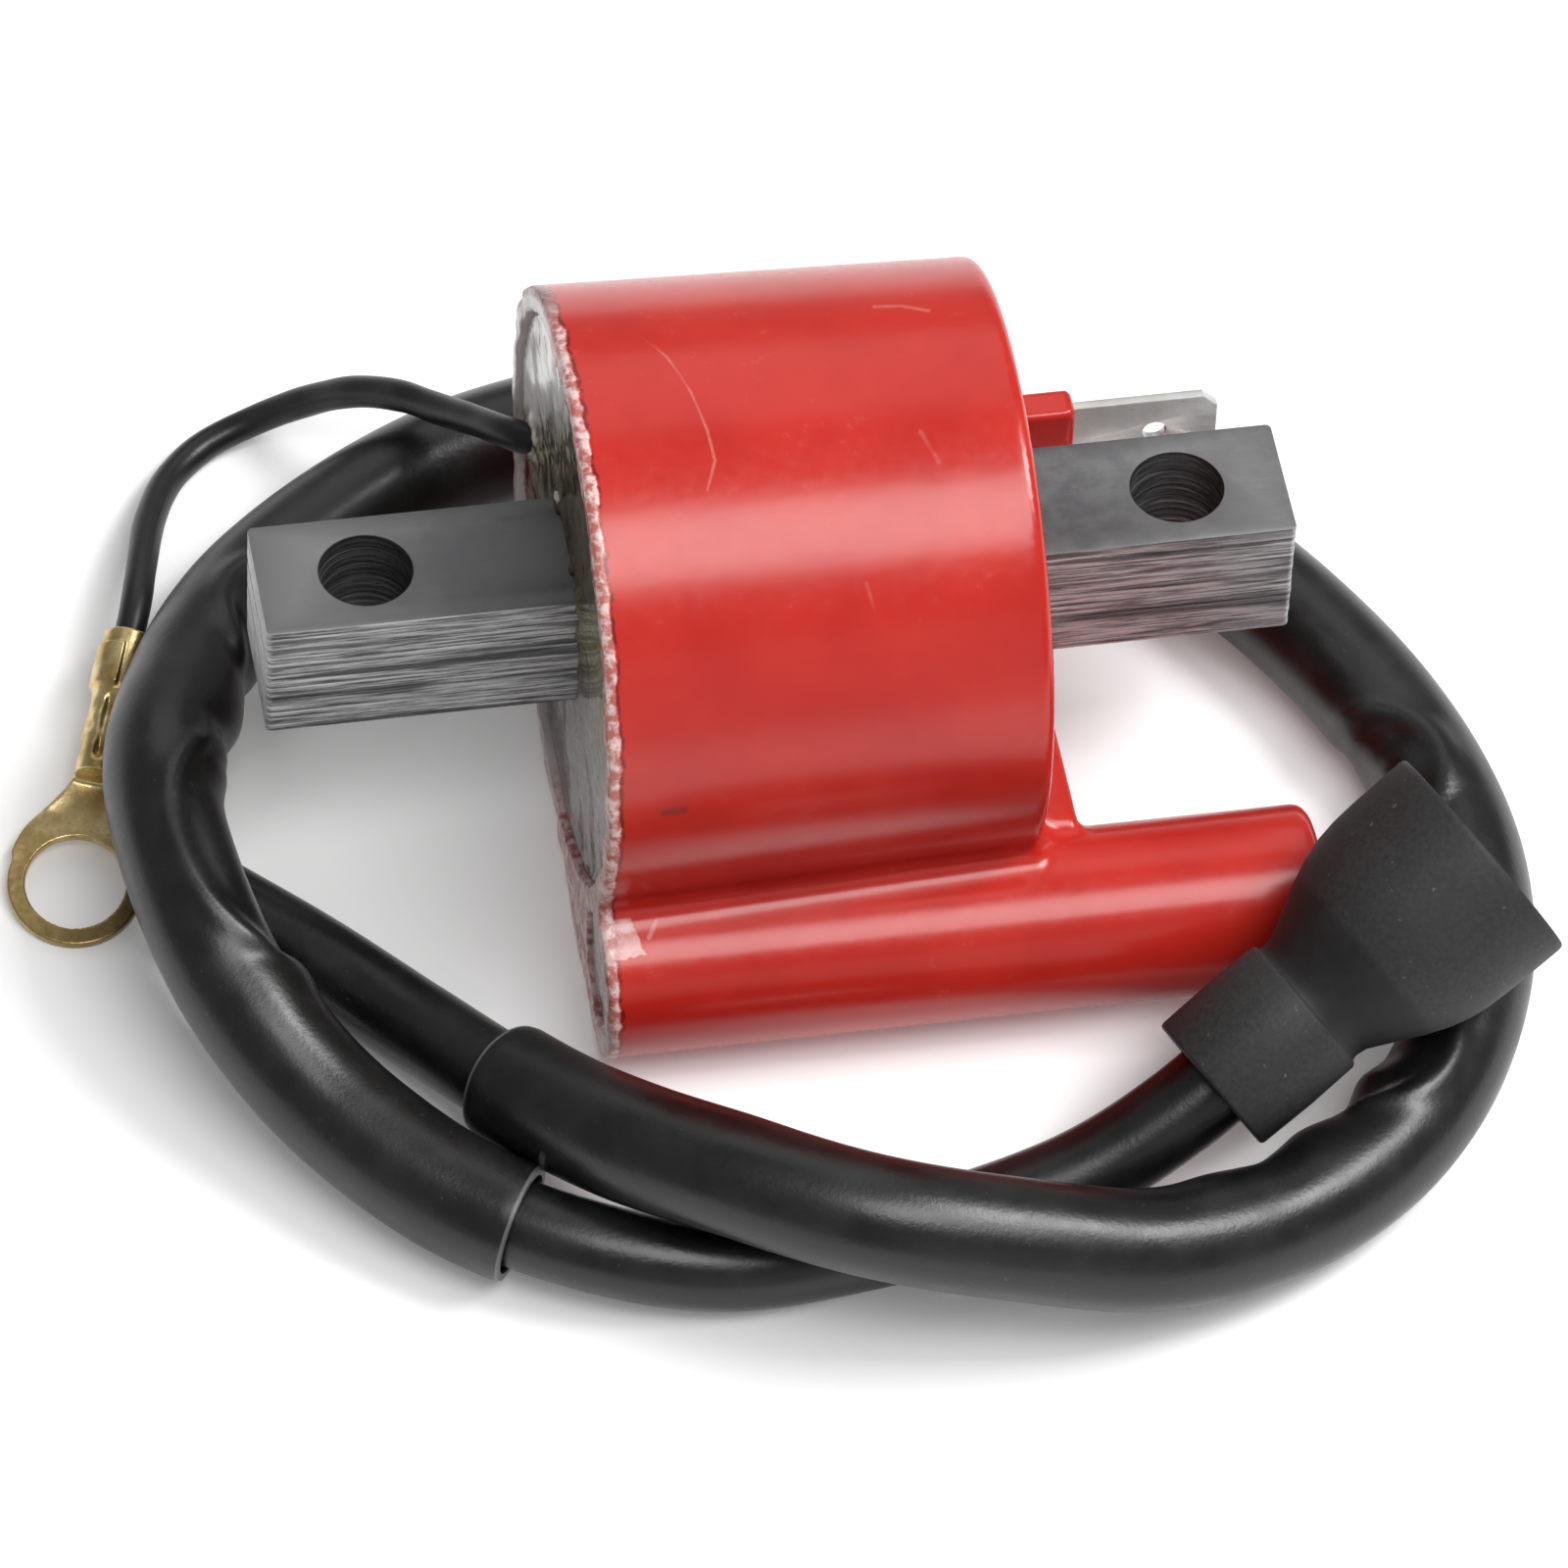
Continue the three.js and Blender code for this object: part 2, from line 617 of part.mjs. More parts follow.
const SPLICE_Y = 18;
const SPLICE_Z = -4.7;
const spliceAngle = Math.atan2(SPLICE_Z, SPLICE_Y) + CORE_LEAN;
const spliceRadius = Math.hypot(SPLICE_Y, SPLICE_Z);
const SPLICE_GAP_X = (RESIN_BACK + BOBBIN_LEFT) / 2;
wirePiece(coreFrame, 'primary_finish_wire', [
  [BOBBIN_LEFT + FLANGE + 0.15, PRIMARY_WIRE_R, 0],
  [BOBBIN_LEFT - 0.2, PRIMARY_WIRE_R, 0],
  [SPLICE_GAP_X, PRIMARY_WIRE_R + 0.9, 0],
  [SPLICE_GAP_X, (PRIMARY_WIRE_R + spliceRadius) / 2, Math.sin(spliceAngle) * 6],
  [SPLICE_GAP_X, Math.cos(spliceAngle) * (spliceRadius - 1), Math.sin(spliceAngle) * (spliceRadius - 1)],
], 0.35, 10);

const LINK_START = -AXIS_DISTANCE + CONTACT_TAIL_RADIUS + 0.4;
addPiece(coil, 'high_voltage_link', towardsTower(upright(LINK_RADIUS, LINK_LENGTH, LINK_START)), COPPER);

addPiece(coil, 'tower_contact', onTowerAxis(turned([
  [10.4, 0],
  [10.4, CONTACT_TAIL_RADIUS],
  [SOCKET_BOTTOM + CLEARANCE, CONTACT_TAIL_RADIUS],
  [SOCKET_BOTTOM + CLEARANCE, 4],
  [SOCKET_BOTTOM + 1.4, 4],
  [SOCKET_BOTTOM + 1.4, 2.2],
  [SOCKET_BOTTOM + 6, 2.2],
  [SOCKET_BOTTOM + 6.8, 1.4],
  [SOCKET_BOTTOM + 6.8, 0],
], 16)), BRASS);

// Ground wire: stranded conductor in a soft jacket, spliced inside, crimped outside
const wireCurve = routeCurve(WIRE_ROUTE);
const wireLength = wireCurve.getLength();
const jacketStretch = new Stretch(wireCurve, SPLICED_LENGTH / wireLength, 1 - STRIPPED_LENGTH / wireLength);
const jacketSection = circleSection(WIRE_RADIUS, 8, WIRE_BORE, 6);
addPiece(coil, 'ground_wire', tube(jacketStretch, WIRE_STEPS, jacketSection), VINYL);
addPiece(coil, 'ground_wire_conductor', tube(wireCurve, WIRE_STEPS, circleSection(WIRE_CONDUCTOR_RADIUS, 6)),
  COPPER);

const splice = ring(RESIN_BACK + 0.3, RESIN_BACK + 0.9, 0.4, 0.9, 10);
splice.translate(0, SPLICE_Y, CASE_RADIUS + SPLICE_Z);
addPiece(coil, 'ground_splice', splice, BRASS);

// Brass ring terminal: flat ring, shoulders, rolled barrel and jacket grip
const TERMINAL = {
  ringCentre: [-54.6, -6.6, 1.15],
  holeRadius: 3.95,
  ringRadius: 5.35,
  thickness: 0.8,
  length: 21,
  barrelStart: 9.2,
  barrelRadius: 1.85,
  heading: -0.333,
  tilt: 0.14,
};

function buildRingTerminal() {
  const { ringRadius, holeRadius, thickness, barrelStart, barrelRadius, length } = TERMINAL;
  const blade = new THREE.Shape();
  const shoulderAngle = 0.95;
  blade.absarc(0, 0, ringRadius, shoulderAngle, Math.PI - shoulderAngle, true);
  blade.lineTo(-barrelRadius, barrelStart - 0.6);
  blade.lineTo(-barrelRadius, barrelStart + 1);
  blade.lineTo(barrelRadius, barrelStart + 1);
  blade.lineTo(barrelRadius, barrelStart - 0.6);
  blade.closePath();
  const hole = new THREE.Path();
  hole.absarc(0, 0, holeRadius, 0, Math.PI * 2, false);
  blade.holes.push(hole);
  const plate = new THREE.ExtrudeGeometry(blade, { depth: thickness, bevelEnabled: false, curveSegments: 28 });
  plate.translate(0, 0, -thickness / 2);

  const rolled = new THREE.LatheGeometry([
    new THREE.Vector2(0, barrelStart),
    new THREE.Vector2(barrelRadius, barrelStart),
    new THREE.Vector2(barrelRadius, length - 5),
    new THREE.Vector2(barrelRadius + 0.25, length - 4.4),
    new THREE.Vector2(barrelRadius + 0.25, length),
    new THREE.Vector2(0, length),
  ], 16);
  rolled.translate(0, 0, barrelRadius - thickness / 2);
  const bore = new THREE.LatheGeometry([
    new THREE.Vector2(0, barrelStart + 1),
    new THREE.Vector2(0.95, barrelStart + 1),
    new THREE.Vector2(0.95, length - 5),
    new THREE.Vector2(WIRE_RADIUS + 0.3, length - 4.6),
    new THREE.Vector2(WIRE_RADIUS + 0.3, length + 1),
    new THREE.Vector2(0, length + 1),
  ], 12);
  bore.translate(0, 0, barrelRadius - thickness / 2);
  const solid = toManifold(plate).add(toManifold(rolled)).subtract(toManifold(bore));
  return fromManifold(solid);
}

const terminal = addPiece(coil, 'ring_terminal', buildRingTerminal(), BRASS);
terminal.position.set(...TERMINAL.ringCentre);
terminal.rotation.order = 'ZXY';
terminal.rotation.z = TERMINAL.heading;
terminal.rotation.x = TERMINAL.tilt;

// High-voltage lead: stranded core in a thick jacket, with a loose sleeve over it
const leadCurve = routeCurve(LEAD_ROUTE);
const CONDUCTOR_END_SHARE = 0.002;
const leadSection = circleSection(LEAD_RADIUS, 8, LEAD_BORE, 6);
addPiece(coil, 'ht_lead', tube(leadCurve, LEAD_STEPS, leadSection), RUBBER);
addPiece(coil, 'ht_lead_conductor', tube(
  new Stretch(leadCurve, CONDUCTOR_END_SHARE, 1 - CONDUCTOR_END_SHARE),
  LEAD_STEPS,
  circleSection(LEAD_CONDUCTOR_RADIUS, 6),
), COPPER);
addPiece(coil, 'ht_sleeve', tube(
  new Stretch(leadCurve, SLEEVE_FIRST_STEP / LEAD_STEPS, SLEEVE_LAST_STEP / LEAD_STEPS),
  SLEEVE_LAST_STEP - SLEEVE_FIRST_STEP,
  circleSection(SLEEVE_RADIUS, 8, SLEEVE_BORE, 8),
), VINYL);

// Rubber boot and the lead's own terminal, both turned about the boot's axis
function placeOnBootAxis(mesh) {
  mesh.position.copy(BOOT_START);
  mesh.quaternion.setFromUnitVectors(new THREE.Vector3(1, 0, 0), BOOT_AXIS);
}

const boot = addPiece(coil, 'rubber_boot', turned([
  [0, 3.8],
  [0, 5.7],
  [0.3, 6],
  [9.4, 6],
  [9.8, 5.6],
  [11, 5.75],
  [14, 7.2],
  [17, 8.5],
  [19.5, 9.2],
  [22, 9.4],
  [BOOT_LENGTH - 0.3, 9.45],
  [BOOT_LENGTH, 9.2],
  [BOOT_LENGTH, 7.3],
  [17.5, 7.2],
  [12.5, 5.4],
  [11, 3.8],
  [0, 3.8],
], 28), RUBBER);
placeOnBootAxis(boot);

const leadTerminal = addPiece(coil, 'lead_terminal', turned([
  [13.2, 0],
  [13.2, 3.4],
  [19.3, 3.4],
  [19.3, 4.6],
  [20.2, 4.6],
  [20.2, 3.1],
  [24.2, 3.1],
  [24.2, 2.45],
  [20.8, 2.45],
  [20.8, 0],
], 20), BRASS);
placeOnBootAxis(leadTerminal);

export default coil;
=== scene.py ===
"""Small-engine ignition coil: looks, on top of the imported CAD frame.

Sizes are millimetres in the coil's own frame (X along the core, the case's axis at
y = 0, the floor at z = 0) and become metres in the row frame where meshes are made.
"""
import math

import bmesh
import bpy
import numpy as np
from mathutils import Matrix, Vector


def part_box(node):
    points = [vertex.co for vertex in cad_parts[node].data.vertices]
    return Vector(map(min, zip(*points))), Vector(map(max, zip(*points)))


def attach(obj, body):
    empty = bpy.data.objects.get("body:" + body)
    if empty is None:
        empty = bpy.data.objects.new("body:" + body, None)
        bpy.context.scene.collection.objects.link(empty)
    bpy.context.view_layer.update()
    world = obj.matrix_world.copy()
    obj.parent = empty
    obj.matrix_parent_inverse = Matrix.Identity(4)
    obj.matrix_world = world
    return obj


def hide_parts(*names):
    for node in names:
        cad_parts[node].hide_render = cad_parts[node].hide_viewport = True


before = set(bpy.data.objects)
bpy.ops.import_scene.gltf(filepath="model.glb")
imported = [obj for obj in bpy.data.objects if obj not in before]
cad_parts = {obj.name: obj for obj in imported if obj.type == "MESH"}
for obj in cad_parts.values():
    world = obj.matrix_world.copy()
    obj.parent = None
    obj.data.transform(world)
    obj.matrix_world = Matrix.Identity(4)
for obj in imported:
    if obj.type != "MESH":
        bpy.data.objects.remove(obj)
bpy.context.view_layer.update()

MM = 0.001
WELD_DISTANCE = 0.002 * MM

# Driving sizes, as in the CAD model
CASE_RADIUS = 24.2
CASE_CLOSED_RADIUS = 23.1
CASE_LEFT = -16.5
CASE_RIGHT = 18.05
WALL = 2.0
CAVITY_END = 15.9
TOWER_RADIUS = 7.0
TOWER_OFFSET = 23.0
TOWER_END = 40.0
VALLEY_FILLET = 2.6
SOCKET_RADIUS = 4.9
SOCKET_BOTTOM = 21
TOWER_BORE = 4.4
TOWER_BORE_END = 17.5
CONTACT_HOLE_RADIUS = 1.6
CORE_HALF = 5.55
CORE_HALF_LENGTH = 40
SHEET_COUNT = 16
SHEET_CORNER = 0.45
SHEET_GAP = 0.02
HOLE_X = 31.6
HOLE_RADIUS = 3.6
TAB_Y = 11.7
TAB_INNER_X = 15
TAB_END_X = 37.2
TAB_HALF_WIDTH = 3.15
TAB_CORNER = 1.2
TAB_THICKNESS = 0.8
TAB_HOLE_RADIUS = 0.95
TAB_HOLE = (32.3, -0.3)
BOSS_END = 25.7
BOSS_HALF_THICKNESS = 1.4
BOSS_HALF_WIDTH = 3.8
LINK_X = 11.6
LINK_HOLE_RADIUS = 1.4
RIB_START = 7.5
RIB_KNEE = 13.8
RIB_KNEE_STAND = 2.7
RIB_STAND = 3.9
RIB_HALF_THICKNESS = 2
LEAD_RADIUS = 3.5
SLEEVE_RADIUS = 4.75
SLEEVE_BORE = 4.05
WIRE_RADIUS = 1.25

DRAFT = (CASE_RADIUS - CASE_CLOSED_RADIUS) / (CASE_RIGHT - CASE_LEFT)
AXIS_DROP = CASE_RADIUS - TOWER_RADIUS
AXIS_DISTANCE = math.hypot(TOWER_OFFSET, AXIS_DROP)
CORE_LEAN = math.pi / 4 - math.atan2(AXIS_DROP, TOWER_OFFSET)
LEAN_COS, LEAN_SIN = math.cos(CORE_LEAN), math.sin(CORE_LEAN)
SHIFT_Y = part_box("coil_case")[0][1] / MM + TOWER_OFFSET + TOWER_RADIUS


def row(points):
    """Coil-frame millimetres to row-frame metres."""
    points = np.atleast_2d(np.asarray(points, float))
    return (points + (0, SHIFT_Y, 0)) * MM


def lean(points):
    """Points square to the core, on its axis, to coil-frame points."""
    x, y, z = np.atleast_2d(np.asarray(points, float)).T
    return np.stack([x, y * LEAN_COS + z * LEAN_SIN, CASE_RADIUS - y * LEAN_SIN + z * LEAN_COS], 1)


def square_to_core(y, z):
    up = z - CASE_RADIUS
    return y * LEAN_COS - up * LEAN_SIN, y * LEAN_SIN + up * LEAN_COS


# ---------------------------------------------------------------- camera

CAMERA_AZIMUTH = -14.18
CAMERA_ELEVATION = 56.71
CAMERA_ROLL = 5.909
CAMERA_DISTANCE = 1000
CAMERA_LENS = 297.756
CAMERA_TARGET = (-0.640, -13.433, 15.546)


def direction_to(azimuth, elevation):
    """Unit vector, from degrees; azimuth 0 is the -Y side, 90 the +X side."""
    azimuth, elevation = math.radians(azimuth), math.radians(elevation)
    return Vector((
        math.sin(azimuth) * math.cos(elevation),
        -math.cos(azimuth) * math.cos(elevation),
        math.sin(elevation),
    ))


def make_camera():
    azimuth, roll = math.radians(CAMERA_AZIMUTH), math.radians(CAMERA_ROLL)
    back = direction_to(CAMERA_AZIMUTH, CAMERA_ELEVATION)
    level = Vector((math.cos(azimuth), math.sin(azimuth), 0))
    right = math.cos(roll) * level + math.sin(roll) * back.cross(level)
    up = back.cross(right)
    data = bpy.data.cameras.new("camera")
    data.lens = CAMERA_LENS
    data.sensor_width = 36
    data.clip_end = 10
    camera = bpy.data.objects.new("camera", data)
    place = Vector(row(CAMERA_TARGET)[0]) + back * CAMERA_DISTANCE * MM
    turn = Matrix((right, up, back)).transposed()
    camera.matrix_world = Matrix.Translation(place) @ turn.to_4x4()
    bpy.context.scene.collection.objects.link(camera)
    bpy.context.scene.camera = camera


make_camera()

# ---------------------------------------------------------------- mesh helpers


def add_mesh(name, points, faces, material):
    """A mesh object from row-frame points in metres."""
    mesh = bpy.data.meshes.new(name)
    mesh.from_pydata([tuple(p) for p in points], [], [tuple(f) for f in faces])
    mesh.validate()
    mesh.polygons.foreach_set("use_smooth", [True] * len(mesh.polygons))
    mesh.materials.append(material)
    piece = bpy.data.objects.new(name, mesh)
    bpy.context.scene.collection.objects.link(piece)
    return piece


def smooth_by_angle(piece, degrees=35):
    """Smooth shading, broken at edges sharper than the angle."""
    mesh = piece.data
    mesh.polygons.foreach_set("use_smooth", [True] * len(mesh.polygons))
    mesh.set_sharp_from_angle(angle=math.radians(degrees))


def place(piece, node, slot, body="root"):
    """The piece stands for a CAD node and goes on its body; the slot is not used."""
    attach(piece, body)
    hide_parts(node)


NOISE_SIZE = 32
NOISE_TABLE = np.random.RandomState(7).uniform(-1, 1, (NOISE_SIZE,) * 3)


def noise(x, y, z, wavelength, offset=0.0):
    """Smooth value noise, -1 to 1, with features about a wavelength apart."""
    cells, weights = [], []
    for value in (x, y, z):
        value = np.asarray(value, float) / wavelength + offset
        cell = np.floor(value)
        part = value - cell
        cells.append(cell.astype(int))
        weights.append(part * part * (3 - 2 * part))
    total = 0
    for corner in np.ndindex(2, 2, 2):
        weight = 1
        for axis in range(3):
            weight = weight * (weights[axis] if corner[axis] else 1 - weights[axis])
        index = tuple((cells[axis] + corner[axis]) % NOISE_SIZE for axis in range(3))
        total = total + weight * NOISE_TABLE[index]
    return total


def round_union(a, b, radius):
    """Two distance fields joined with a fillet."""
    dip = np.hypot(np.maximum(radius - a, 0), np.maximum(radius - b, 0))
    return np.maximum(radius, np.minimum(a, b)) - dip


def round_overlap(a, b, radius):
    """The overlap of two distance fields, with a rounded edge."""
    bulge = np.hypot(np.maximum(radius + a, 0), np.maximum(radius + b, 0))
    return np.minimum(-radius, np.maximum(a, b)) + bulge


CELL_EDGES = [
    (corner, tuple(corner[i] + (i == axis) for i in range(3)))
    for axis in range(3)
    for corner in np.ndindex(2, 2, 2)
    if corner[axis] == 0
]


def surface_net(field, low, high, step):
    """Points and quads of the surface where field(x, y, z) is 0; inside is negative."""
    axes = [np.arange(a, b + step, step) for a, b in zip(low, high)]
    values = field(*np.meshgrid(*axes, indexing="ij"))
    inside = values < 0
    size = [n - 1 for n in values.shape]

    def corner_view(grid, corner):
        return grid[tuple(slice(c, c + n) for c, n in zip(corner, size))]

    count = sum(corner_view(inside, corner).astype(int) for corner in np.ndindex(2, 2, 2))
    active = (count > 0) & (count < 8)
    cells = np.argwhere(active)
    total = np.zeros((len(cells), 3))
    hits = np.zeros(len(cells))
    for first, second in CELL_EDGES:
        a = corner_view(values, first)[active]
        b = corner_view(values, second)[active]
        crossed = (a < 0) != (b < 0)
        share = np.where(crossed, a / np.where(crossed, a - b, 1), 0)[:, None]
        spot = np.array(first) + share * (np.array(second) - np.array(first))
        total += spot * crossed[:, None]
        hits += crossed
    points = np.array(low) + (cells + total / hits[:, None]) * step

    number = np.full(active.shape, -1)
    number[active] = np.arange(len(cells))
    quads = []
    for axis in range(3):
        turn = [axis, (axis + 1) % 3, (axis + 2) % 3]
        solid = inside.transpose(turn)
        cell = number.transpose(turn)
        start, end = solid[:-1, 1:-1, 1:-1], solid[1:, 1:-1, 1:-1]
        for rising in (True, False):
            i, j, k = np.nonzero((start != end) & (start == rising))
            loop = [cell[i, j, k], cell[i, j + 1, k], cell[i, j + 1, k + 1], cell[i, j, k + 1]]
            quads.append(np.stack(loop if rising else loop[::-1], 1))

    reach = step / 50
    for _ in range(3):
        x, y, z = points.T
        here = field(x, y, z)
        slope = np.stack([
            field(x + reach, y, z) - field(x - reach, y, z),
            field(x, y + reach, z) - field(x, y - reach, z),
            field(x, y, z + reach) - field(x, y, z - reach),
        ], 1) / (2 * reach)
        move = here / np.maximum((slope ** 2).sum(1), 0.25)
        points -= np.clip(move, -step / 2, step / 2)[:, None] * slope
    return points, np.concatenate(quads)


def spline(points, count):
    """Evenly spaced points on a centripetal Catmull-Rom curve, and its length."""
    knots = np.asarray(points, float)
    knots = np.vstack([2 * knots[0] - knots[1], knots, 2 * knots[-1] - knots[-2]])
    fine = []
    for i in range(1, len(knots) - 2):
        p0, p1, p2, p3 = knots[i - 1:i + 3]
        gap0, gap1, gap2 = (np.linalg.norm(b - a) ** 0.5 for a, b in ((p0, p1), (p1, p2), (p2, p3)))
        slope1 = ((p1 - p0) / gap0 - (p2 - p0) / (gap0 + gap1) + (p2 - p1) / gap1) * gap1
        slope2 = ((p2 - p1) / gap1 - (p3 - p1) / (gap1 + gap2) + (p3 - p2) / gap2) * gap1
        t = np.linspace(0, 1, 60, endpoint=False)[:, None]
        fine.append(
            (2 * t ** 3 - 3 * t ** 2 + 1) * p1 + (t ** 3 - 2 * t ** 2 + t) * slope1
            + (3 * t ** 2 - 2 * t ** 3) * p2 + (t ** 3 - t ** 2) * slope2
        )
    fine = np.vstack(fine + [knots[-2][None]])
    along = np.r_[0, np.cumsum(np.linalg.norm(np.diff(fine, axis=0), axis=1))]
    even = np.linspace(0, along[-1], count)
    return np.stack([np.interp(even, along, fine[:, k]) for k in range(3)], 1), along[-1]


def carried_frames(path):
    """A sideways and an upward direction at each point of a path, carried without twist."""
    heading = np.gradient(path, axis=0)
    heading /= np.linalg.norm(heading, axis=1)[:, None]
    side = np.cross(heading[0], (0, 0, 1))
    sides = []
    for direction in heading:
        side = side - direction * (side @ direction)
        side = side / np.linalg.norm(side)
        sides.append(side)
    sides = np.array(sides)
    return sides, np.cross(sides, heading)


def sweep(name, path, sections, material):
    """A closed tube: sections[i] is a loop of (side, up) points round path[i]."""
    sides, ups = carried_frames(path)
    count = len(sections[0])
    points = [
        centre + across * u + rise * v
        for centre, across, rise, section in zip(path, sides, ups, sections)
        for u, v in section
    ]
    faces = []
    for i in range(len(path) - 1):
        for j in range(count):
            a, b = i * count + j, i * count + (j + 1) % count
            faces.append((a, a + count, b + count, b))
    faces.append(range(count))
    faces.append(range(len(points) - 1, len(points) - count - 1, -1))
    return add_mesh(name, row(points), faces, material)


def lathe(name, profile, start, axis, material, segments=96, wobble=None):
    """A closed profile of (distance along the axis, radius), turned about the axis."""
    axis = np.asarray(axis, float) / np.linalg.norm(axis)
    side = np.cross(axis, (0, 0, 1))
    side /= np.linalg.norm(side)
    rise = np.cross(side, axis)
    points, faces, count = [], [], len(profile)
    for i in range(segments):
        angle = 2 * math.pi * i / segments
        outward = side * math.cos(angle) + rise * math.sin(angle)
        for along, radius in profile:
            grown = radius + (wobble(along, angle) if wobble else 0)
            points.append(np.asarray(start) + axis * along + outward * grown)
        for j in range(count):
            a, b = i * count + j, i * count + (j + 1) % count
            c, d = (a + count) % (segments * count), (b + count) % (segments * count)
            faces.append((a, b, d, c))
    return add_mesh(name, row(points), faces, material)


def plate(name, loops, thickness, bevel, to_coil, material):
    """A flat plate with holes: loops of (u, v), the outside first, then placed by to_coil."""
    curve = bpy.data.curves.new(name, "CURVE")
    curve.dimensions = "2D"
    curve.fill_mode = "BOTH"
    curve.extrude = thickness / 2 - bevel
    curve.bevel_depth = bevel
    curve.bevel_resolution = 1
    curve.offset = -bevel
    for loop in loops:
        line = curve.splines.new("POLY")
        line.points.add(len(loop) - 1)
        for point, (u, v) in zip(line.points, loop):
            point.co = (u, v, 0, 1)
        line.use_cyclic_u = True
    holder = bpy.data.objects.new(name + "_outline", curve)
    bpy.context.scene.collection.objects.link(holder)
    drawn = bpy.data.meshes.new_from_object(holder.evaluated_get(bpy.context.evaluated_depsgraph_get()))
    bpy.data.objects.remove(holder)
    bpy.data.curves.remove(curve)
    points = row(to_coil(np.array([v.co[:] for v in drawn.vertices])))
    faces = [tuple(p.vertices) for p in drawn.polygons]
    bpy.data.meshes.remove(drawn)
    piece = add_mesh(name, points, faces, material)
    weld(piece)
    smooth_by_angle(piece, 30)
    return piece


def weld(piece):
    """Joins doubled points and turns all faces outward."""
    work = bmesh.new()
    work.from_mesh(piece.data)
    bmesh.ops.remove_doubles(work, verts=work.verts, dist=WELD_DISTANCE)
    bmesh.ops.recalc_face_normals(work, faces=work.faces)
    work.to_mesh(piece.data)
    work.free()


def circle(radius, count, centre=(0, 0)):
    angles = np.linspace(0, 2 * math.pi, count, endpoint=False)
    return [(centre[0] + radius * math.cos(a), centre[1] + radius * math.sin(a)) for a in angles]


# ---------------------------------------------------------------- material helpers


class Finish:
    """A Principled material and short calls for the nodes that feed it."""

    def __init__(self, name, color, roughness, metallic=0.0, specular=0.5):
        self.material = bpy.data.materials.new(name)
        self.material.use_nodes = True
        self.tree = self.material.node_tree
        self.shader = self.tree.nodes["Principled BSDF"]
        self.shader.inputs["Base Color"].default_value = (*color, 1)
        self.shader.inputs["Roughness"].default_value = roughness
        self.shader.inputs["Metallic"].default_value = metallic
        self.shader.inputs["Specular IOR Level"].default_value = specular
        self.place = self.node("ShaderNodeTexCoord").outputs["Object"]

    def node(self, kind, **settings):
        made = self.tree.nodes.new(kind)
        for key, value in settings.items():
            setattr(made, key, value)
        return made

    def link(self, source, target):
        if isinstance(source, (int, float)):
            target.default_value = source
        elif isinstance(source, tuple):
            target.default_value = (*source, 1) if len(target.default_value) == 4 else source
        else:
            self.tree.links.new(source, target)

    def feed(self, **inputs):
        for name, source in inputs.items():
            self.link(source, self.shader.inputs[name.replace("_", " ")])

    def stretch(self, scale, rotation=(0, 0, 0)):
        """The place, turned and scaled, for grain along one direction."""
        made = self.node("ShaderNodeMapping")
        self.link(self.place, made.inputs["Vector"])
        made.inputs["Rotation"].default_value = rotation
        made.inputs["Scale"].default_value = scale
        return made.outputs[0]

    def noise(self, size, detail=3.0, rough=0.5, where=None):
        """Noise of 0 to 1; size is the feature size in mm."""
        made = self.node("ShaderNodeTexNoise")
        self.link(where or self.place, made.inputs["Vector"])
        made.inputs["Scale"].default_value = 1 / (size * MM)
        made.inputs["Detail"].default_value = detail
        made.inputs["Roughness"].default_value = rough
        return made.outputs["Fac"]

    def remap(self, value, low, high, to_low=0.0, to_high=1.0):
        made = self.node("ShaderNodeMapRange", interpolation_type="SMOOTHSTEP")
        self.link(value, made.inputs["Value"])
        limits = {"From Min": low, "From Max": high, "To Min": to_low, "To Max": to_high}
        for socket, number in limits.items():
            made.inputs[socket].default_value = number
        return made.outputs[0]

    def math(self, operation, a, b=0.0):
        made = self.node("ShaderNodeMath", operation=operation)
        self.link(a, made.inputs[0])
        self.link(b, made.inputs[1])
        return made.outputs[0]

    def times(self, a, b):
        return self.math("MULTIPLY", a, b)

    def minus(self, a, b):
        return self.math("SUBTRACT", a, b)

    def hypot(self, a, b):
        return self.math("SQRT", self.math("ADD", self.times(a, a), self.times(b, b)))

    def mix(self, share, a, b):
        made = self.node("ShaderNodeMix", data_type="RGBA")
        self.link(share, made.inputs["Factor"])
        self.link(a, made.inputs["A"])
        self.link(b, made.inputs["B"])
        return made.outputs["Result"]

    def vector(self, operation, a, b=(0, 0, 0)):
        made = self.node("ShaderNodeVectorMath", operation=operation)
        self.link(a, made.inputs[0])
        self.link(b, made.inputs[1])
        return made.outputs

    def distance(self, centre):
        """Distance in mm from a coil-frame point."""
        apart = self.vector("DISTANCE", self.place, tuple(row(centre)[0]))["Value"]
        return self.times(apart, 1 / MM)

    def line_distance(self, start, end):
        """Distance in mm from the straight line between two coil-frame points."""
        origin = row(start)[0]
        span = row(end)[0] - origin
        length = float(np.linalg.norm(span))
        share = self.math("DIVIDE", self.reach(span / length, start), length / MM)
        share = self.math("MINIMUM", self.math("MAXIMUM", share, 0.0), 1.0)
        from_start = self.vector("SUBTRACT", self.place, tuple(origin))["Vector"]
        along = self.node("ShaderNodeVectorMath", operation="SCALE")
        along.inputs[0].default_value = span
        self.link(share, along.inputs["Scale"])
        aside = self.vector("SUBTRACT", from_start, along.outputs["Vector"])["Vector"]
        return self.times(self.vector("LENGTH", aside)["Value"], 1 / MM)

    def reach(self, direction, start):
        """How far, in mm, a place lies from a coil-frame point along a direction."""
        along = self.vector("DOT_PRODUCT", self.place, tuple(direction))["Value"]
        offset = float(np.dot(row(start)[0], direction))
        return self.times(self.minus(along, offset), 1 / MM)

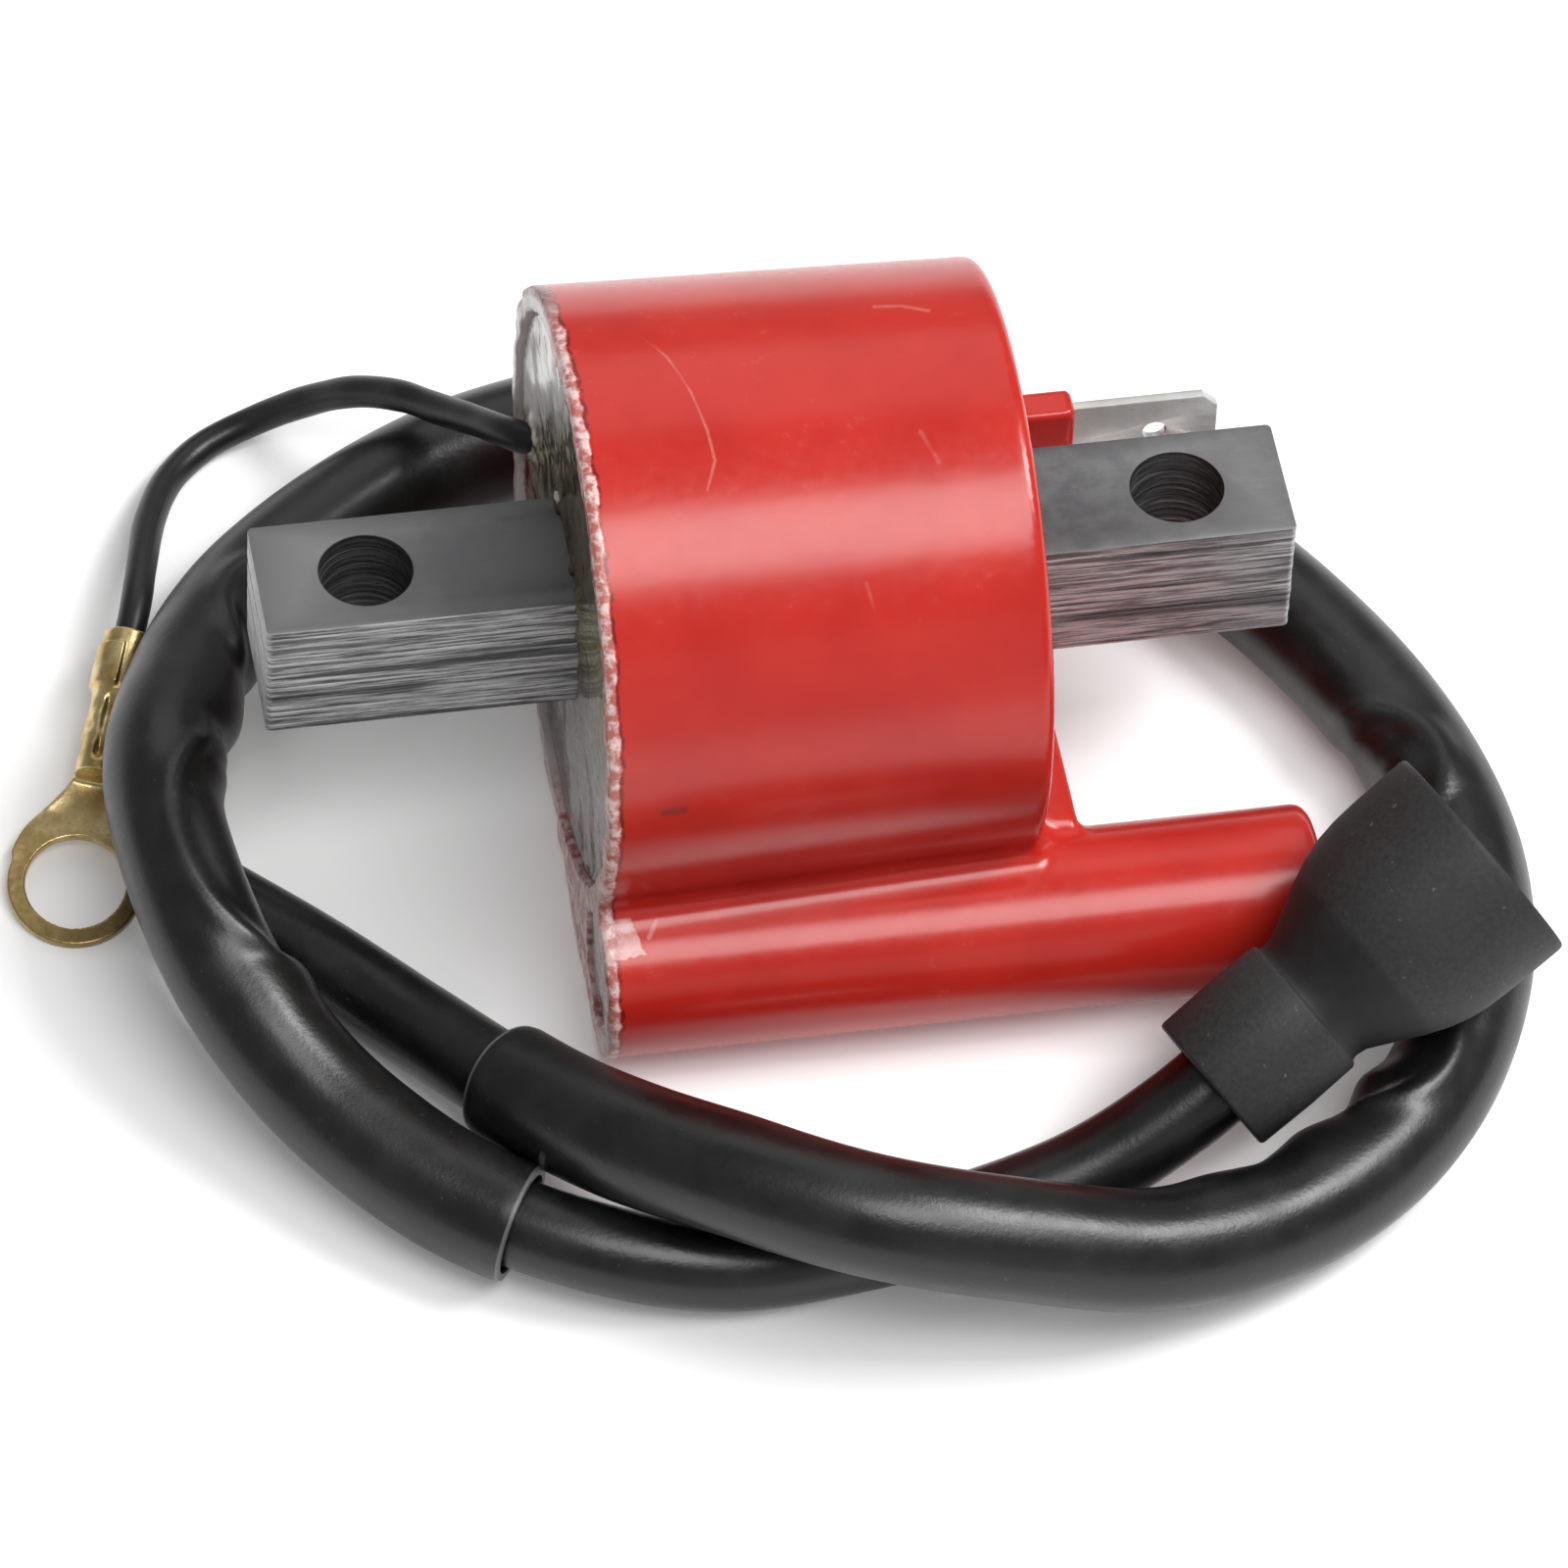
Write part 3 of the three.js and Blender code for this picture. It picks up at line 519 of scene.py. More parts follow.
    def from_case_axis(self):
        y = self.reach((0, 1, 0), (0, 0, CASE_RADIUS))
        z = self.reach((0, 0, 1), (0, 0, CASE_RADIUS))
        return self.hypot(y, z)

    def from_hole(self):
        """Distance in mm from the axis of the nearer mounting hole."""
        x = self.minus(self.math("ABSOLUTE", self.reach((1, 0, 0), (0, 0, 0))), HOLE_X)
        y = self.reach((0, LEAN_COS, -LEAN_SIN), (0, 0, CASE_RADIUS))
        return self.hypot(x, y)

    def between(self, value, low, high, soft):
        """1 from low to high, falling to 0 over soft on both sides."""
        rise = self.remap(value, low - soft, low)
        fall = self.remap(value, high, high + soft, 1, 0)
        return self.times(rise, fall)

    def bump(self, height, depth):
        """A bump of about depth mm for a height of 0 to 1."""
        made = self.node("ShaderNodeBump")
        made.inputs["Distance"].default_value = depth * MM
        self.link(height, made.inputs["Height"])
        self.link(made.outputs[0], self.shader.inputs["Normal"])


def rubber_finish(name, tone, roughness, dust, specular=0.4, cut_ends=(), shaded_band=None):
    """Black rubber or vinyl: clouded, with dust specks. cut_ends are places and headings
    of pale cut edges, and the last argument is an axis start, an axis and a stretch of it
    left without the pale dust film and specks, so that it stays dark as painted shade."""
    finish = Finish(name, (tone,) * 3, roughness, specular=specular)
    cloud = finish.noise(6, 4, 0.6)
    grain = finish.noise(0.45, 3, 0.6)
    specks = finish.times(finish.remap(finish.noise(0.7, 2, 0.5), 0.70, 0.78), dust)
    shade = finish.mix(finish.remap(cloud, 0.35, 0.7), (tone * 0.7,) * 3, (tone * 1.35,) * 3)
    # painted shade: the given stretch gets no pale dust film and no specks, so it stays dark
    if shaded_band:
        start, axis, low, high = shaded_band
        dust_outside_shaded_band = finish.minus(1.0, finish.between(finish.reach(axis, start), low, high, 1.0))
        film = finish.times(finish.remap(grain, 0.3, 0.7, 0.45, 1.0), dust_outside_shaded_band)
        shade = finish.mix(film, shade, (tone * 2.2,) * 3)
        specks = finish.times(specks, dust_outside_shaded_band)
    tint = finish.mix(specks, shade, (0.16, 0.155, 0.15))
    for centre, heading in cut_ends:
        rim = finish.between(finish.reach(heading, centre), -0.2, 0.2, 0.12)
        rim = finish.times(rim, finish.remap(finish.distance(centre), 5.5, 6.5, 0.8, 0))
        tint = finish.mix(rim, tint, (0.13, 0.13, 0.13))
    finish.feed(
        Base_Color=tint,
        Roughness=finish.remap(cloud, 0.3, 0.75, roughness - 0.05, roughness + 0.07),
    )
    finish.bump(grain, 0.02)
    return finish.material


def copper_finish():
    finish = Finish("enamelled_copper", (0.50, 0.18, 0.07), 0.32, metallic=1.0)
    turns = finish.node("ShaderNodeTexWave", wave_type="BANDS", bands_direction="X")
    finish.link(finish.place, turns.inputs["Vector"])
    turns.inputs["Scale"].default_value = 550
    finish.feed(Base_Color=finish.mix(turns.outputs["Fac"], (0.20, 0.06, 0.02), (0.62, 0.24, 0.09)))
    finish.bump(turns.outputs["Fac"], 0.15)
    return finish.material


def plain_finish(name, color, roughness, metallic=0.0, grain=1.5):
    finish = Finish(name, color, roughness, metallic)
    cloud = finish.noise(grain, 4, 0.6)
    darker = tuple(c * 0.75 for c in color)
    finish.feed(
        Base_Color=finish.mix(cloud, darker, color),
        Roughness=finish.remap(cloud, 0.3, 0.7, roughness - 0.05, roughness + 0.08),
    )
    finish.bump(cloud, 0.02)
    return finish.material


copper = copper_finish()
nylon = plain_finish("nylon", (0.72, 0.66, 0.50), 0.5)
paper = plain_finish("insulating_paper", (0.50, 0.40, 0.24), 0.85, grain=0.6)

# ---------------------------------------------------------------- cords

LEAD_ROUTE = [
    (39.0, -35.6, 14.86), (32.4, -38.96, 11.65), (25.95, -42.25, 8.51), (18.5, -44.9, 5.6),
    (10.0, -46.7, 4.0), (0.5, -48.2, 3.6), (-10.5, -48.7, 3.7), (-21.0, -46.0, 4.8),
    (-30.0, -40.5, 5.1), (-37.5, -33.0, 6.2), (-43.5, -24.5, 9.2), (-47.0, -14.5, 12.4),
    (-47.5, -4.0, 12.0), (-44.2, 5.6, 9.2), (-38.8, 14.8, 6.0), (-31.0, 21.5, 4.9),
    (-21.5, 26.5, 4.8), (-11.0, 29.0, 4.8), (0.0, 29.5, 4.8), (10.5, 27.5, 4.8),
    (20.5, 24.0, 4.8), (30.0, 18.0, 4.8), (38.0, 11.0, 4.8), (44.5, 2.5, 4.8),
    (49.5, -7.0, 4.8), (52.5, -17.5, 4.8), (52.0, -28.0, 4.8), (48.0, -38.0, 4.8),
    (41.0, -46.0, 5.0), (31.5, -51.5, 6.0), (21.5, -54.0, 8.2), (11.0, -53.5, 11.1),
    (0.5, -51.3, 13.0), (-9.0, -46.3, 12.5), (-17.0, -40.5, 10.3), (-23.7, -33.2, 7.0),
    (-30.5, -24.4, 3.9), (-37.5, -17.2, 3.6), (-45.0, -10.5, 3.6),
]
WIRE_ROUTE = [
    (-13.4, 18.0, 19.5), (-15.4, 18.0, 19.5), (-17.2, 19.3, 19.0), (-19.3, 22.4, 16.6),
    (-21.6, 25.6, 14.0), (-24.2, 28.7, 11.9), (-27.4, 31.4, 9.2), (-31.0, 33.4, 5.6),
    (-35.0, 34.1, 2.6), (-39.0, 32.9, 1.6), (-42.3, 29.8, 2.0), (-44.5, 25.1, 3.5),
    (-45.9, 19.8, 5.2), (-47.0, 15.5, 5.8), (-47.87, 12.86, 5.5), (-49.16, 9.12, 4.96),
    (-50.4, 5.55, 4.43),
]
# The sleeve's two ends, as shares of the lead's length
SLEEVE_SHARES = (7 / 40, 37 / 40)
LEAD_POINTS = 640
WIRE_POINTS = 90
# How far inside its route the ground wire's jacket starts and ends
JACKET_INSETS = (0.9, 3.4)

lead_path, lead_length = spline(LEAD_ROUTE, LEAD_POINTS)
wire_path, wire_length = spline(WIRE_ROUTE, WIRE_POINTS)
sleeve_first, sleeve_last = (round(share * (LEAD_POINTS - 1)) for share in SLEEVE_SHARES)


def sleeve_ends():
    """Places and headings of the sleeve's two cut ends."""
    ends = []
    for i in (sleeve_first, sleeve_last):
        heading = lead_path[i + 1] - lead_path[i - 1]
        ends.append((lead_path[i], heading / np.linalg.norm(heading)))
    return ends


lead_rubber = rubber_finish("lead_rubber", 0.008, 0.32, 0.15, specular=0.5)
sleeve_vinyl = rubber_finish("sleeve_vinyl", 0.0075, 0.34, 0.12, specular=0.55, cut_ends=sleeve_ends())
wire_vinyl = rubber_finish("wire_vinyl", 0.012, 0.38, 0.1)


def make_lead():
    sections = []
    for i in range(len(lead_path)):
        at_end = i in (0, len(lead_path) - 1)
        sections.append(circle(LEAD_RADIUS - (0.25 if at_end else 0), 40))
    piece = sweep("ht_lead_jacket", lead_path, sections, lead_rubber)
    smooth_by_angle(piece, 50)
    return piece


# The loose sleeve buckles on the inside of its bends. Places along it are in mm from its
# start, and angles run from the inside of the bend (0) over the top (90) to the outside.
# Dented panels: place, half length, angle of the ridge beside the panel, and depth
SLEEVE_PANELS = [
    (39.5, 10.5, 112, 0.50),
    (68, 8, 95, 0.25),
    (184, 7, 95, 0.30),
    (214, 8, 100, 0.35),
]
# Dents (below 0) and bumps (above 0): place, angle, height, half length and half width
SLEEVE_FOLDS = [
    (27.0, 5, 0.50, 2.2, 0.9),
    (30.2, 20, -0.55, 1.0, 0.9),
    (48.0, 5, 0.60, 2.4, 0.7),
    (52.3, 0, -0.60, 1.1, 0.8),
    (56.0, -5, 0.50, 2.2, 0.7),
    (60.5, -5, -0.50, 1.3, 0.9),
    (64.0, 10, 0.30, 2.0, 0.8),
    (177.5, 35, 0.40, 1.8, 0.6),
    (181.0, 40, -0.55, 1.4, 0.7),
    (185.0, 45, 0.45, 2.0, 0.6),
    (206.0, 0, 0.40, 2.2, 0.8),
    (211.5, 10, -0.70, 2.2, 0.9),
    (217.0, 5, 0.60, 1.8, 0.8),
    (221.5, 5, -0.50, 1.5, 0.9),
    (226.0, 0, 0.50, 2.2, 0.8),
    (231.5, 0, -0.35, 1.8, 0.9),
    (237.0, 0, 0.35, 2.8, 0.8),
]
SLEEVE_DENT_LIMIT = 0.52
SLEEVE_SIDES = 64


def angle_from(angles, centre):
    """How far angles lie from a centre in degrees, in radians from -pi to pi."""
    return (angles - math.radians(centre) + math.pi) % (2 * math.pi) - math.pi


def soft_step(value):
    value = np.clip(value, 0, 1)
    return value * value * (3 - 2 * value)


def sleeve_section(along, radius, sides):
    """The sleeve's outline at a place along it, with its panels, dents and bumps."""
    angles = np.linspace(0, 2 * math.pi, sides, endpoint=False)
    size = radius + 0.08 * noise(along / 7, np.cos(angles) * 1.2, np.sin(angles) * 1.2, 1.0, 3.3)
    for where, half_length, ridge_angle, depth in SLEEVE_PANELS:
        share = (along - where) / half_length
        near = soft_step((1.1 - abs(share)) / 0.25)
        across = angle_from(angles, ridge_angle - 62 * min(share * share, 1.2))
        sunk = soft_step((-0.05 - across) / 0.45) * soft_step((across + 2.2) / 0.6)
        ridge = 0.42 * np.exp(-(across / 0.24) ** 2)
        size = size + near * (ridge - depth * sunk)
    for where, angle, height, half_length, half_width in SLEEVE_FOLDS:
        near = math.exp(-((along - where) / half_length) ** 2)
        size = size + height * near * np.exp(-(angle_from(angles, angle) / half_width) ** 2)
    size = np.maximum(size, radius - SLEEVE_DENT_LIMIT)
    return list(zip(size * np.cos(angles), size * np.sin(angles)))


def make_sleeve():
    """The sleeve: its outer rings run forward and its bore's rings run back."""
    path = lead_path[sleeve_first:sleeve_last + 1]
    places = np.r_[0, np.cumsum(np.linalg.norm(np.diff(path, axis=0), axis=1))]
    sides, ups = carried_frames(path)
    count = SLEEVE_SIDES
    rings = [(i, SLEEVE_RADIUS) for i in range(len(path))]
    rings += [(i, SLEEVE_BORE) for i in reversed(range(len(path)))]
    points = []
    for i, radius in rings:
        shown = radius - (0.12 if i in (0, len(path) - 1) and radius == SLEEVE_RADIUS else 0)
        for u, v in sleeve_section(places[i], shown, count):
            points.append(path[i] + sides[i] * u + ups[i] * v)
    faces = []
    for i in range(len(rings)):
        for j in range(count):
            a, b = i * count + j, i * count + (j + 1) % count
            c, d = (a + count) % len(points), (b + count) % len(points)
            faces.append((a, c, d, b))
    piece = add_mesh("ht_sleeve_tube", row(points), faces, sleeve_vinyl)
    smooth_by_angle(piece, 50)
    return piece, path


def make_ground_wire():
    start_inset, end_inset = JACKET_INSETS
    first = round(start_inset / wire_length * (WIRE_POINTS - 1))
    last = round((1 - end_inset / wire_length) * (WIRE_POINTS - 1))
    path = wire_path[first:last + 1]
    sections = [
        circle(WIRE_RADIUS + 0.05 * noise(i * 0.3, 0, 0, 1.0, 5.1), 28) for i in range(len(path))
    ]
    return sweep("ground_wire_jacket", path, sections, wire_vinyl), path


lead = make_lead()
sleeve, sleeve_path = make_sleeve()
ground_wire, jacket_path = make_ground_wire()
place(lead, "ht_lead", "rubber")
place(sleeve, "ht_sleeve", "vinyl")
place(ground_wire, "ground_wire", "vinyl")

# ---------------------------------------------------------------- case


# Lines on the moulding: points, half width, colour and strength
SCRATCHES = [
    ([(-9.9, 7.9, 46.7), (-8.4, 5.4, 47.5), (-7.2, 1.7, 48.0), (-6.5, -2.0, 48.0), (-6.3, -4.5, 47.7),
      (-7.2, -6.7, 47.1)], 0.17, (0.74, 0.34, 0.27), 0.34),
    ([(8.4, 9.4, 45.6), (10.4, 9.3, 45.7), (12.3, 8.4, 46.0)], 0.34, (0.70, 0.30, 0.24), 0.30),
    ([(-11.2, -21.2, 13.9), (-11.9, -23.2, 14.1), (-12.9, -24.9, 13.8)], 0.26, (0.66, 0.28, 0.25), 0.6),
    ([(-12.2, -23.2, 29.1), (-10.8, -23.2, 29.1)], 0.75, (0.10, 0.025, 0.02), 0.7),
    ([(4.0, -14.0, 43.2), (4.6, -16.4, 41.5)], 0.26, (0.66, 0.27, 0.22), 0.20),
    ([(9.6, -3.5, 47.2), (10.6, -6.0, 46.7)], 0.28, (0.66, 0.30, 0.26), 0.20),
]


def cut_patch(finish):
    """A mask of the pale patch at the open end of the tower's top, where the sprue was cut off."""
    x = finish.reach((1, 0, 0), (-14.6, 0, 0))
    y = finish.reach((0, -1, 0), (0, -21.6, 0))
    across = finish.minus(x, finish.times(y, 0.3))
    wander = finish.times(finish.minus(finish.noise(1.6, 3, 0.6), 0.5), 1.2)
    inside = finish.remap(finish.math("ADD", across, wander), -0.15, 0.1, 1, 0)
    upper = finish.between(finish.reach((0, 0, 1), (0, 0, 0)), 10.5, 14.3, 0.2)
    band = finish.between(finish.math("ADD", y, wander), 0.15, 4.4, 0.15)
    return finish.times(finish.times(inside, upper), band)


def red_finish():
    finish = Finish("red_moulding", (0.45, 0.018, 0.014), 0.23, specular=0.5)
    broad = finish.noise(14, 3, 0.55)
    fine = finish.noise(1.2, 4, 0.65)
    tint = finish.mix(finish.remap(broad, 0.3, 0.7), (0.45, 0.015, 0.010), (0.53, 0.024, 0.015))
    # pale dust and rub marks
    rubbed = finish.times(finish.remap(fine, 0.60, 0.74), finish.remap(broad, 0.46, 0.62))
    tint = finish.mix(finish.times(rubbed, 0.14), tint, (0.62, 0.20, 0.16))
    for points, half_width, colour, strength in SCRATCHES:
        near = 0.0
        for start, end in zip(points, points[1:]):
            away = finish.line_distance(start, end)
            line = finish.remap(away, half_width * 0.3, half_width, strength, 0)
            near = finish.math("MAXIMUM", line, near)
        worn = finish.times(near, finish.remap(fine, 0.25, 0.55, 0.3, 1))
        tint = finish.mix(worn, tint, colour)
    # the rubbed, chipped rim at the open end: pale in front; behind, grey inside and dark red at its
    # outer edge
    x = finish.reach((1, 0, 0), (CASE_LEFT, 0, 0))
    edge = finish.minus(x, finish.times(finish.noise(2.2, 4, 0.6), 1.2))
    rim = finish.remap(edge, 0.12, 0.36, 1, 0)
    chips = finish.remap(finish.noise(1.0, 4, 0.65), 0.40, 0.62)
    rim_tint = finish.mix(chips, (0.46, 0.13, 0.11), (0.78, 0.57, 0.54))
    outer = finish.remap(finish.from_case_axis(), CASE_RADIUS - 0.9, CASE_RADIUS - 0.5)
    far_rim_tint = finish.mix(outer, (0.62, 0.55, 0.53), (0.20, 0.03, 0.028))
    behind = finish.remap(finish.reach((0, 0.94, -0.34), (0, 0, CASE_RADIUS)), 2, 8)
    tint = finish.mix(rim, tint, finish.mix(behind, rim_tint, far_rim_tint))
    behind_rim = finish.between(edge, 0.36, 0.50, 0.14)
    shadow = finish.times(behind_rim, finish.remap(chips, 0.2, 0.8, 0.9, 0.2))
    tint = finish.mix(shadow, tint, (0.16, 0.008, 0.008))
    pale = finish.mix(chips, (0.70, 0.36, 0.34), (0.80, 0.62, 0.61))
    tint = finish.mix(finish.times(cut_patch(finish), 0.6), tint, pale)
    finish.feed(Base_Color=tint, Roughness=finish.remap(fine, 0.3, 0.75, 0.20, 0.26))
    waves = finish.noise(5, 2, 0.5)
    finish.bump(finish.math("ADD", waves, finish.times(rim, chips)), 0.03)
    return finish.material


red_plastic = red_finish()


def beyond_slope(x, along, rise, run):
    """Distance past a slope through 0 that rises by rise over run."""
    slope = math.atan2(rise, run)
    return x * math.cos(slope) - along * math.sin(slope)


def case_field(x, y, z):
    """The whole moulding, hollow. toward runs from the case's axis to the tower's."""
    up = z - CASE_RADIUS
    radius = CASE_RADIUS - (x - CASE_LEFT) * DRAFT
    from_axis = np.hypot(y, up)
    from_tower = np.hypot(y + TOWER_OFFSET, z - TOWER_RADIUS)
    toward = (-y * TOWER_OFFSET - up * AXIS_DROP) / AXIS_DISTANCE
    above = (up * TOWER_OFFSET - y * AXIS_DROP) / AXIS_DISTANCE

    barrel = round_overlap(from_axis - radius, x - CASE_RIGHT, 0.9)
    tower = round_overlap(from_tower - TOWER_RADIUS, x - TOWER_END, 1.2)
    solid = round_union(barrel, tower, VALLEY_FILLET)

    edge = np.maximum(
        beyond_slope(x - CASE_RIGHT, toward - RIB_START, RIB_KNEE_STAND, RIB_KNEE - RIB_START),
        beyond_slope(x - CASE_RIGHT - RIB_KNEE_STAND, toward - RIB_KNEE,
                     RIB_STAND - RIB_KNEE_STAND, AXIS_DISTANCE - TOWER_RADIUS - RIB_KNEE),
    )
    rib = round_overlap(np.abs(above) - RIB_HALF_THICKNESS, edge, 0.7)
    rib = np.maximum(rib, np.maximum(CASE_RIGHT - 1 - x, toward - AXIS_DISTANCE))
    solid = round_union(solid, rib, 1.0)

    foot = np.maximum(np.maximum(-z, y), np.maximum(-TOWER_OFFSET - y, above))
    solid = np.minimum(solid, round_overlap(foot, x - CASE_RIGHT, 0.8))

    core_y, core_z = square_to_core(y, z)
    boss = round_overlap(
        np.abs(core_y - TAB_Y) - BOSS_HALF_THICKNESS, np.abs(core_z) - BOSS_HALF_WIDTH, 0.5,
    )
    boss = np.maximum(round_overlap(boss, x - BOSS_END, 0.5), CASE_RIGHT - 1 - x)
    solid = round_union(solid, boss, 0.5)

    rough = 0.14 * noise(x * 0, y, z, 2.2) + 0.07 * noise(x * 0, y, z, 0.9, 2.5)
    solid = round_overlap(solid, CASE_LEFT - x + rough, 0.45)

    hollows = [
        np.maximum(from_axis - radius + WALL, x - CAVITY_END),
        np.maximum(np.maximum(np.abs(core_y), np.abs(core_z)) - CORE_HALF - 0.12, CAVITY_END - 1 - x),
        np.maximum(from_tower - SOCKET_RADIUS, SOCKET_BOTTOM - x),
        np.maximum(from_tower - TOWER_BORE, x - TOWER_BORE_END),
        np.maximum(from_tower - CONTACT_HOLE_RADIUS, x - SOCKET_BOTTOM - 1),
        np.maximum(np.hypot(x - LINK_X, above) - LINK_HOLE_RADIUS, np.abs(toward - 22) - 4),
    ]
    for hollow in hollows:
        solid = np.maximum(solid, -hollow)
    return solid


def make_case():
    low = (CASE_LEFT - 1.1, -TOWER_OFFSET - TOWER_RADIUS - 0.9, -0.9)
    high = (TOWER_END + 0.9, CASE_RADIUS + 0.9, 2 * CASE_RADIUS + 0.9)
    points, quads = surface_net(case_field, low, high, 0.42)
    return add_mesh("case_moulding", row(points), quads, red_plastic)


place(make_case(), "coil_case", "red_plastic")

# ---------------------------------------------------------------- potting

RESIN_FACE = CASE_LEFT + 0.95
# The resin is solid down to RESIN_SOLID, and a shell round the windings to its bottom
RESIN_SOLID = -13.4
RESIN_BOTTOM = 15.6
WINDINGS_RADIUS = 20.2


def resin_finish():
    """Cloudy resin: a painted white glare at the top, dark round the wire and the core, grey below."""
    finish = Finish("potting_resin", (0.12, 0.10, 0.07), 0.12, specular=0.6)
    rise = finish.reach((0, 0.83, 0.56), (0, 0, CASE_RADIUS))
    front = finish.reach((0, -0.56, 0.83), (0, 0, CASE_RADIUS))
    drift = finish.times(finish.minus(finish.noise(3.5, 3, 0.6), 0.5), 7.0)
    level = finish.math("ADD", rise, drift)
    fine = finish.noise(1.3, 3, 0.6)
    tint = finish.mix(finish.remap(fine, 0.35, 0.65), (0.055, 0.042, 0.030), (0.14, 0.115, 0.065))
    # painted highlight: the white glare over the top of the resin face
    tint = finish.mix(finish.remap(level, 12.5, 15.5), tint, (0.78, 0.76, 0.73))
    border = finish.between(level, 11.0, 13.5, 1.5)
    speck = finish.times(border, finish.remap(fine, 0.42, 0.70, 0, 0.8))
    tint = finish.mix(speck, tint, (0.62, 0.58, 0.46))
    tint = finish.mix(finish.remap(level, -5.0, -10.0), tint, (0.27, 0.235, 0.235))
    olive = finish.times(finish.remap(front, 2.0, 9.0), finish.between(level, -14, -3, 2.0))
    tint = finish.mix(olive, tint, (0.20, 0.175, 0.075))
    red = finish.times(finish.remap(front, -15.0, -19.0), finish.between(level, 0, 16, 2.0))
    tint = finish.mix(red, tint, (0.14, 0.014, 0.014))
    wall = finish.remap(finish.from_case_axis(), CASE_RADIUS - WALL - 0.9, CASE_RADIUS - WALL - 0.2)
    film = finish.times(wall, finish.remap(fine, 0.4, 0.6, 0.1, 0.7))
    tint = finish.mix(film, tint, (0.55, 0.53, 0.50))
    finish.feed(Base_Color=tint, Roughness=finish.remap(fine, 0.3, 0.7, 0.08, 0.24))
    finish.bump(finish.noise(2.6, 2, 0.5), 0.12)
    return finish.material


resin = resin_finish()


def resin_field(x, y, z):
    """The potting, drawn up a little at the wall, the core and the ground wire."""
    up = z - CASE_RADIUS
    from_axis = np.hypot(y, up)
    wall = CASE_RADIUS - (x - CASE_LEFT) * DRAFT - WALL
    core_y, core_z = square_to_core(y, z)
    from_core = np.maximum(np.abs(core_y), np.abs(core_z)) - CORE_HALF
    face = RESIN_FACE + 0.22 * noise(x * 0, y, z, 4.0, 1.7)
    face = face - 0.55 * np.exp(-np.maximum(wall - from_axis, 0) / 0.7)
    face = face - 0.80 * np.exp(-np.maximum(from_core, 0) / 0.8)
    wire_y, wire_z = WIRE_ROUTE[0][1:]
    from_wire = np.hypot(y - wire_y, z - wire_z) - WIRE_RADIUS
    face = face - 0.9 * np.exp(-np.maximum(from_wire, 0) / 0.6)
    solid = np.maximum(from_axis - wall + 0.02, face - x)
    solid = np.maximum(solid, x - RESIN_BOTTOM)
    solid = np.maximum(solid, -np.maximum(from_axis - WINDINGS_RADIUS, RESIN_SOLID - x))
    solid = np.maximum(solid, -np.maximum(from_core - 0.03, x + 13))
    return np.maximum(solid, -(from_wire - 0.02))


def make_resin():
    reach = CASE_RADIUS + 0.5
    low = (CASE_LEFT - 1.5, -reach, CASE_RADIUS - reach)
    points, quads = surface_net(resin_field, low, (16.3, reach, CASE_RADIUS + reach), 0.45)
    return add_mesh("resin_fill", row(points), quads, resin)


place(make_resin(), "potting_resin", "resin")

# ---------------------------------------------------------------- core


def core_finish():
    """Dark annealed faces, and sheared edges whose tone changes from sheet to sheet."""
    finish = Finish("core_steel", (0.14, 0.14, 0.145), 0.5, metallic=0.7)
    normal = finish.node("ShaderNodeNewGeometry").outputs["Normal"]
    level = finish.vector("DOT_PRODUCT", normal, (0, LEAN_SIN, LEAN_COS))["Value"]
    flat = finish.remap(finish.math("ABSOLUTE", level), 0.5, 0.9)

    turn = (CORE_LEAN, 0, 0)
    streaks = finish.noise(1, 4, 0.7, where=finish.stretch((0.16, 0.8, 4.0), turn))
    layers = finish.noise(1, 1, 0.5, where=finish.stretch((0.03, 0.01, 1.05), turn))
    edge = finish.mix(finish.remap(streaks, 0.36, 0.60), (0.14, 0.14, 0.145), (0.66, 0.66, 0.67))
    edge = finish.mix(finish.remap(layers, 0.56, 0.66, 0, 0.75), edge, (0.05, 0.05, 0.053))
    along = finish.math("ABSOLUTE", finish.reach((1, 0, 0), (0, 0, 0)))
    edge = finish.mix(finish.remap(along, 39.4, 39.9, 0, 0.5), edge, (0.55, 0.55, 0.56))

    grain = finish.noise(2.2, 4, 0.65)
    # painted reflection: the faces are painted lighter towards the core's ends and darker near the case
    face = finish.mix(finish.remap(along, 20, 40), (0.12, 0.122, 0.127), (0.22, 0.22, 0.225))
    face = finish.mix(finish.remap(grain, 0.3, 0.75, 0, 0.35), face, (0.26, 0.26, 0.26))
    # painted shade: dark inside the mounting holes
    bore = finish.remap(finish.from_hole(), HOLE_RADIUS + 0.05, HOLE_RADIUS + 0.12, 0.85, 0)
    finish.feed(
        Base_Color=finish.mix(bore, finish.mix(flat, edge, face), (0.035, 0.035, 0.036)),
        Roughness=finish.remap(grain, 0.3, 0.7, 0.42, 0.58),
    )
    finish.bump(finish.math("ADD", streaks, grain), 0.03)
    return finish.material


core_steel = core_finish()


def core_outline(grow_x, grow_y):
    """A sheet's rounded outline, grown by a little at its ends and sides."""
    half_x = CORE_HALF_LENGTH + grow_x - SHEET_CORNER
    half_y = CORE_HALF + grow_y - SHEET_CORNER
    outline = []
    for quarter, (sx, sy) in enumerate(((1, 1), (-1, 1), (-1, -1), (1, -1))):
        for step in range(5):
            angle = (quarter + step / 4) * math.pi / 2
            x = sx * half_x + SHEET_CORNER * math.cos(angle)
            y = sy * half_y + SHEET_CORNER * math.sin(angle)
            outline.append((x, y))
    return outline


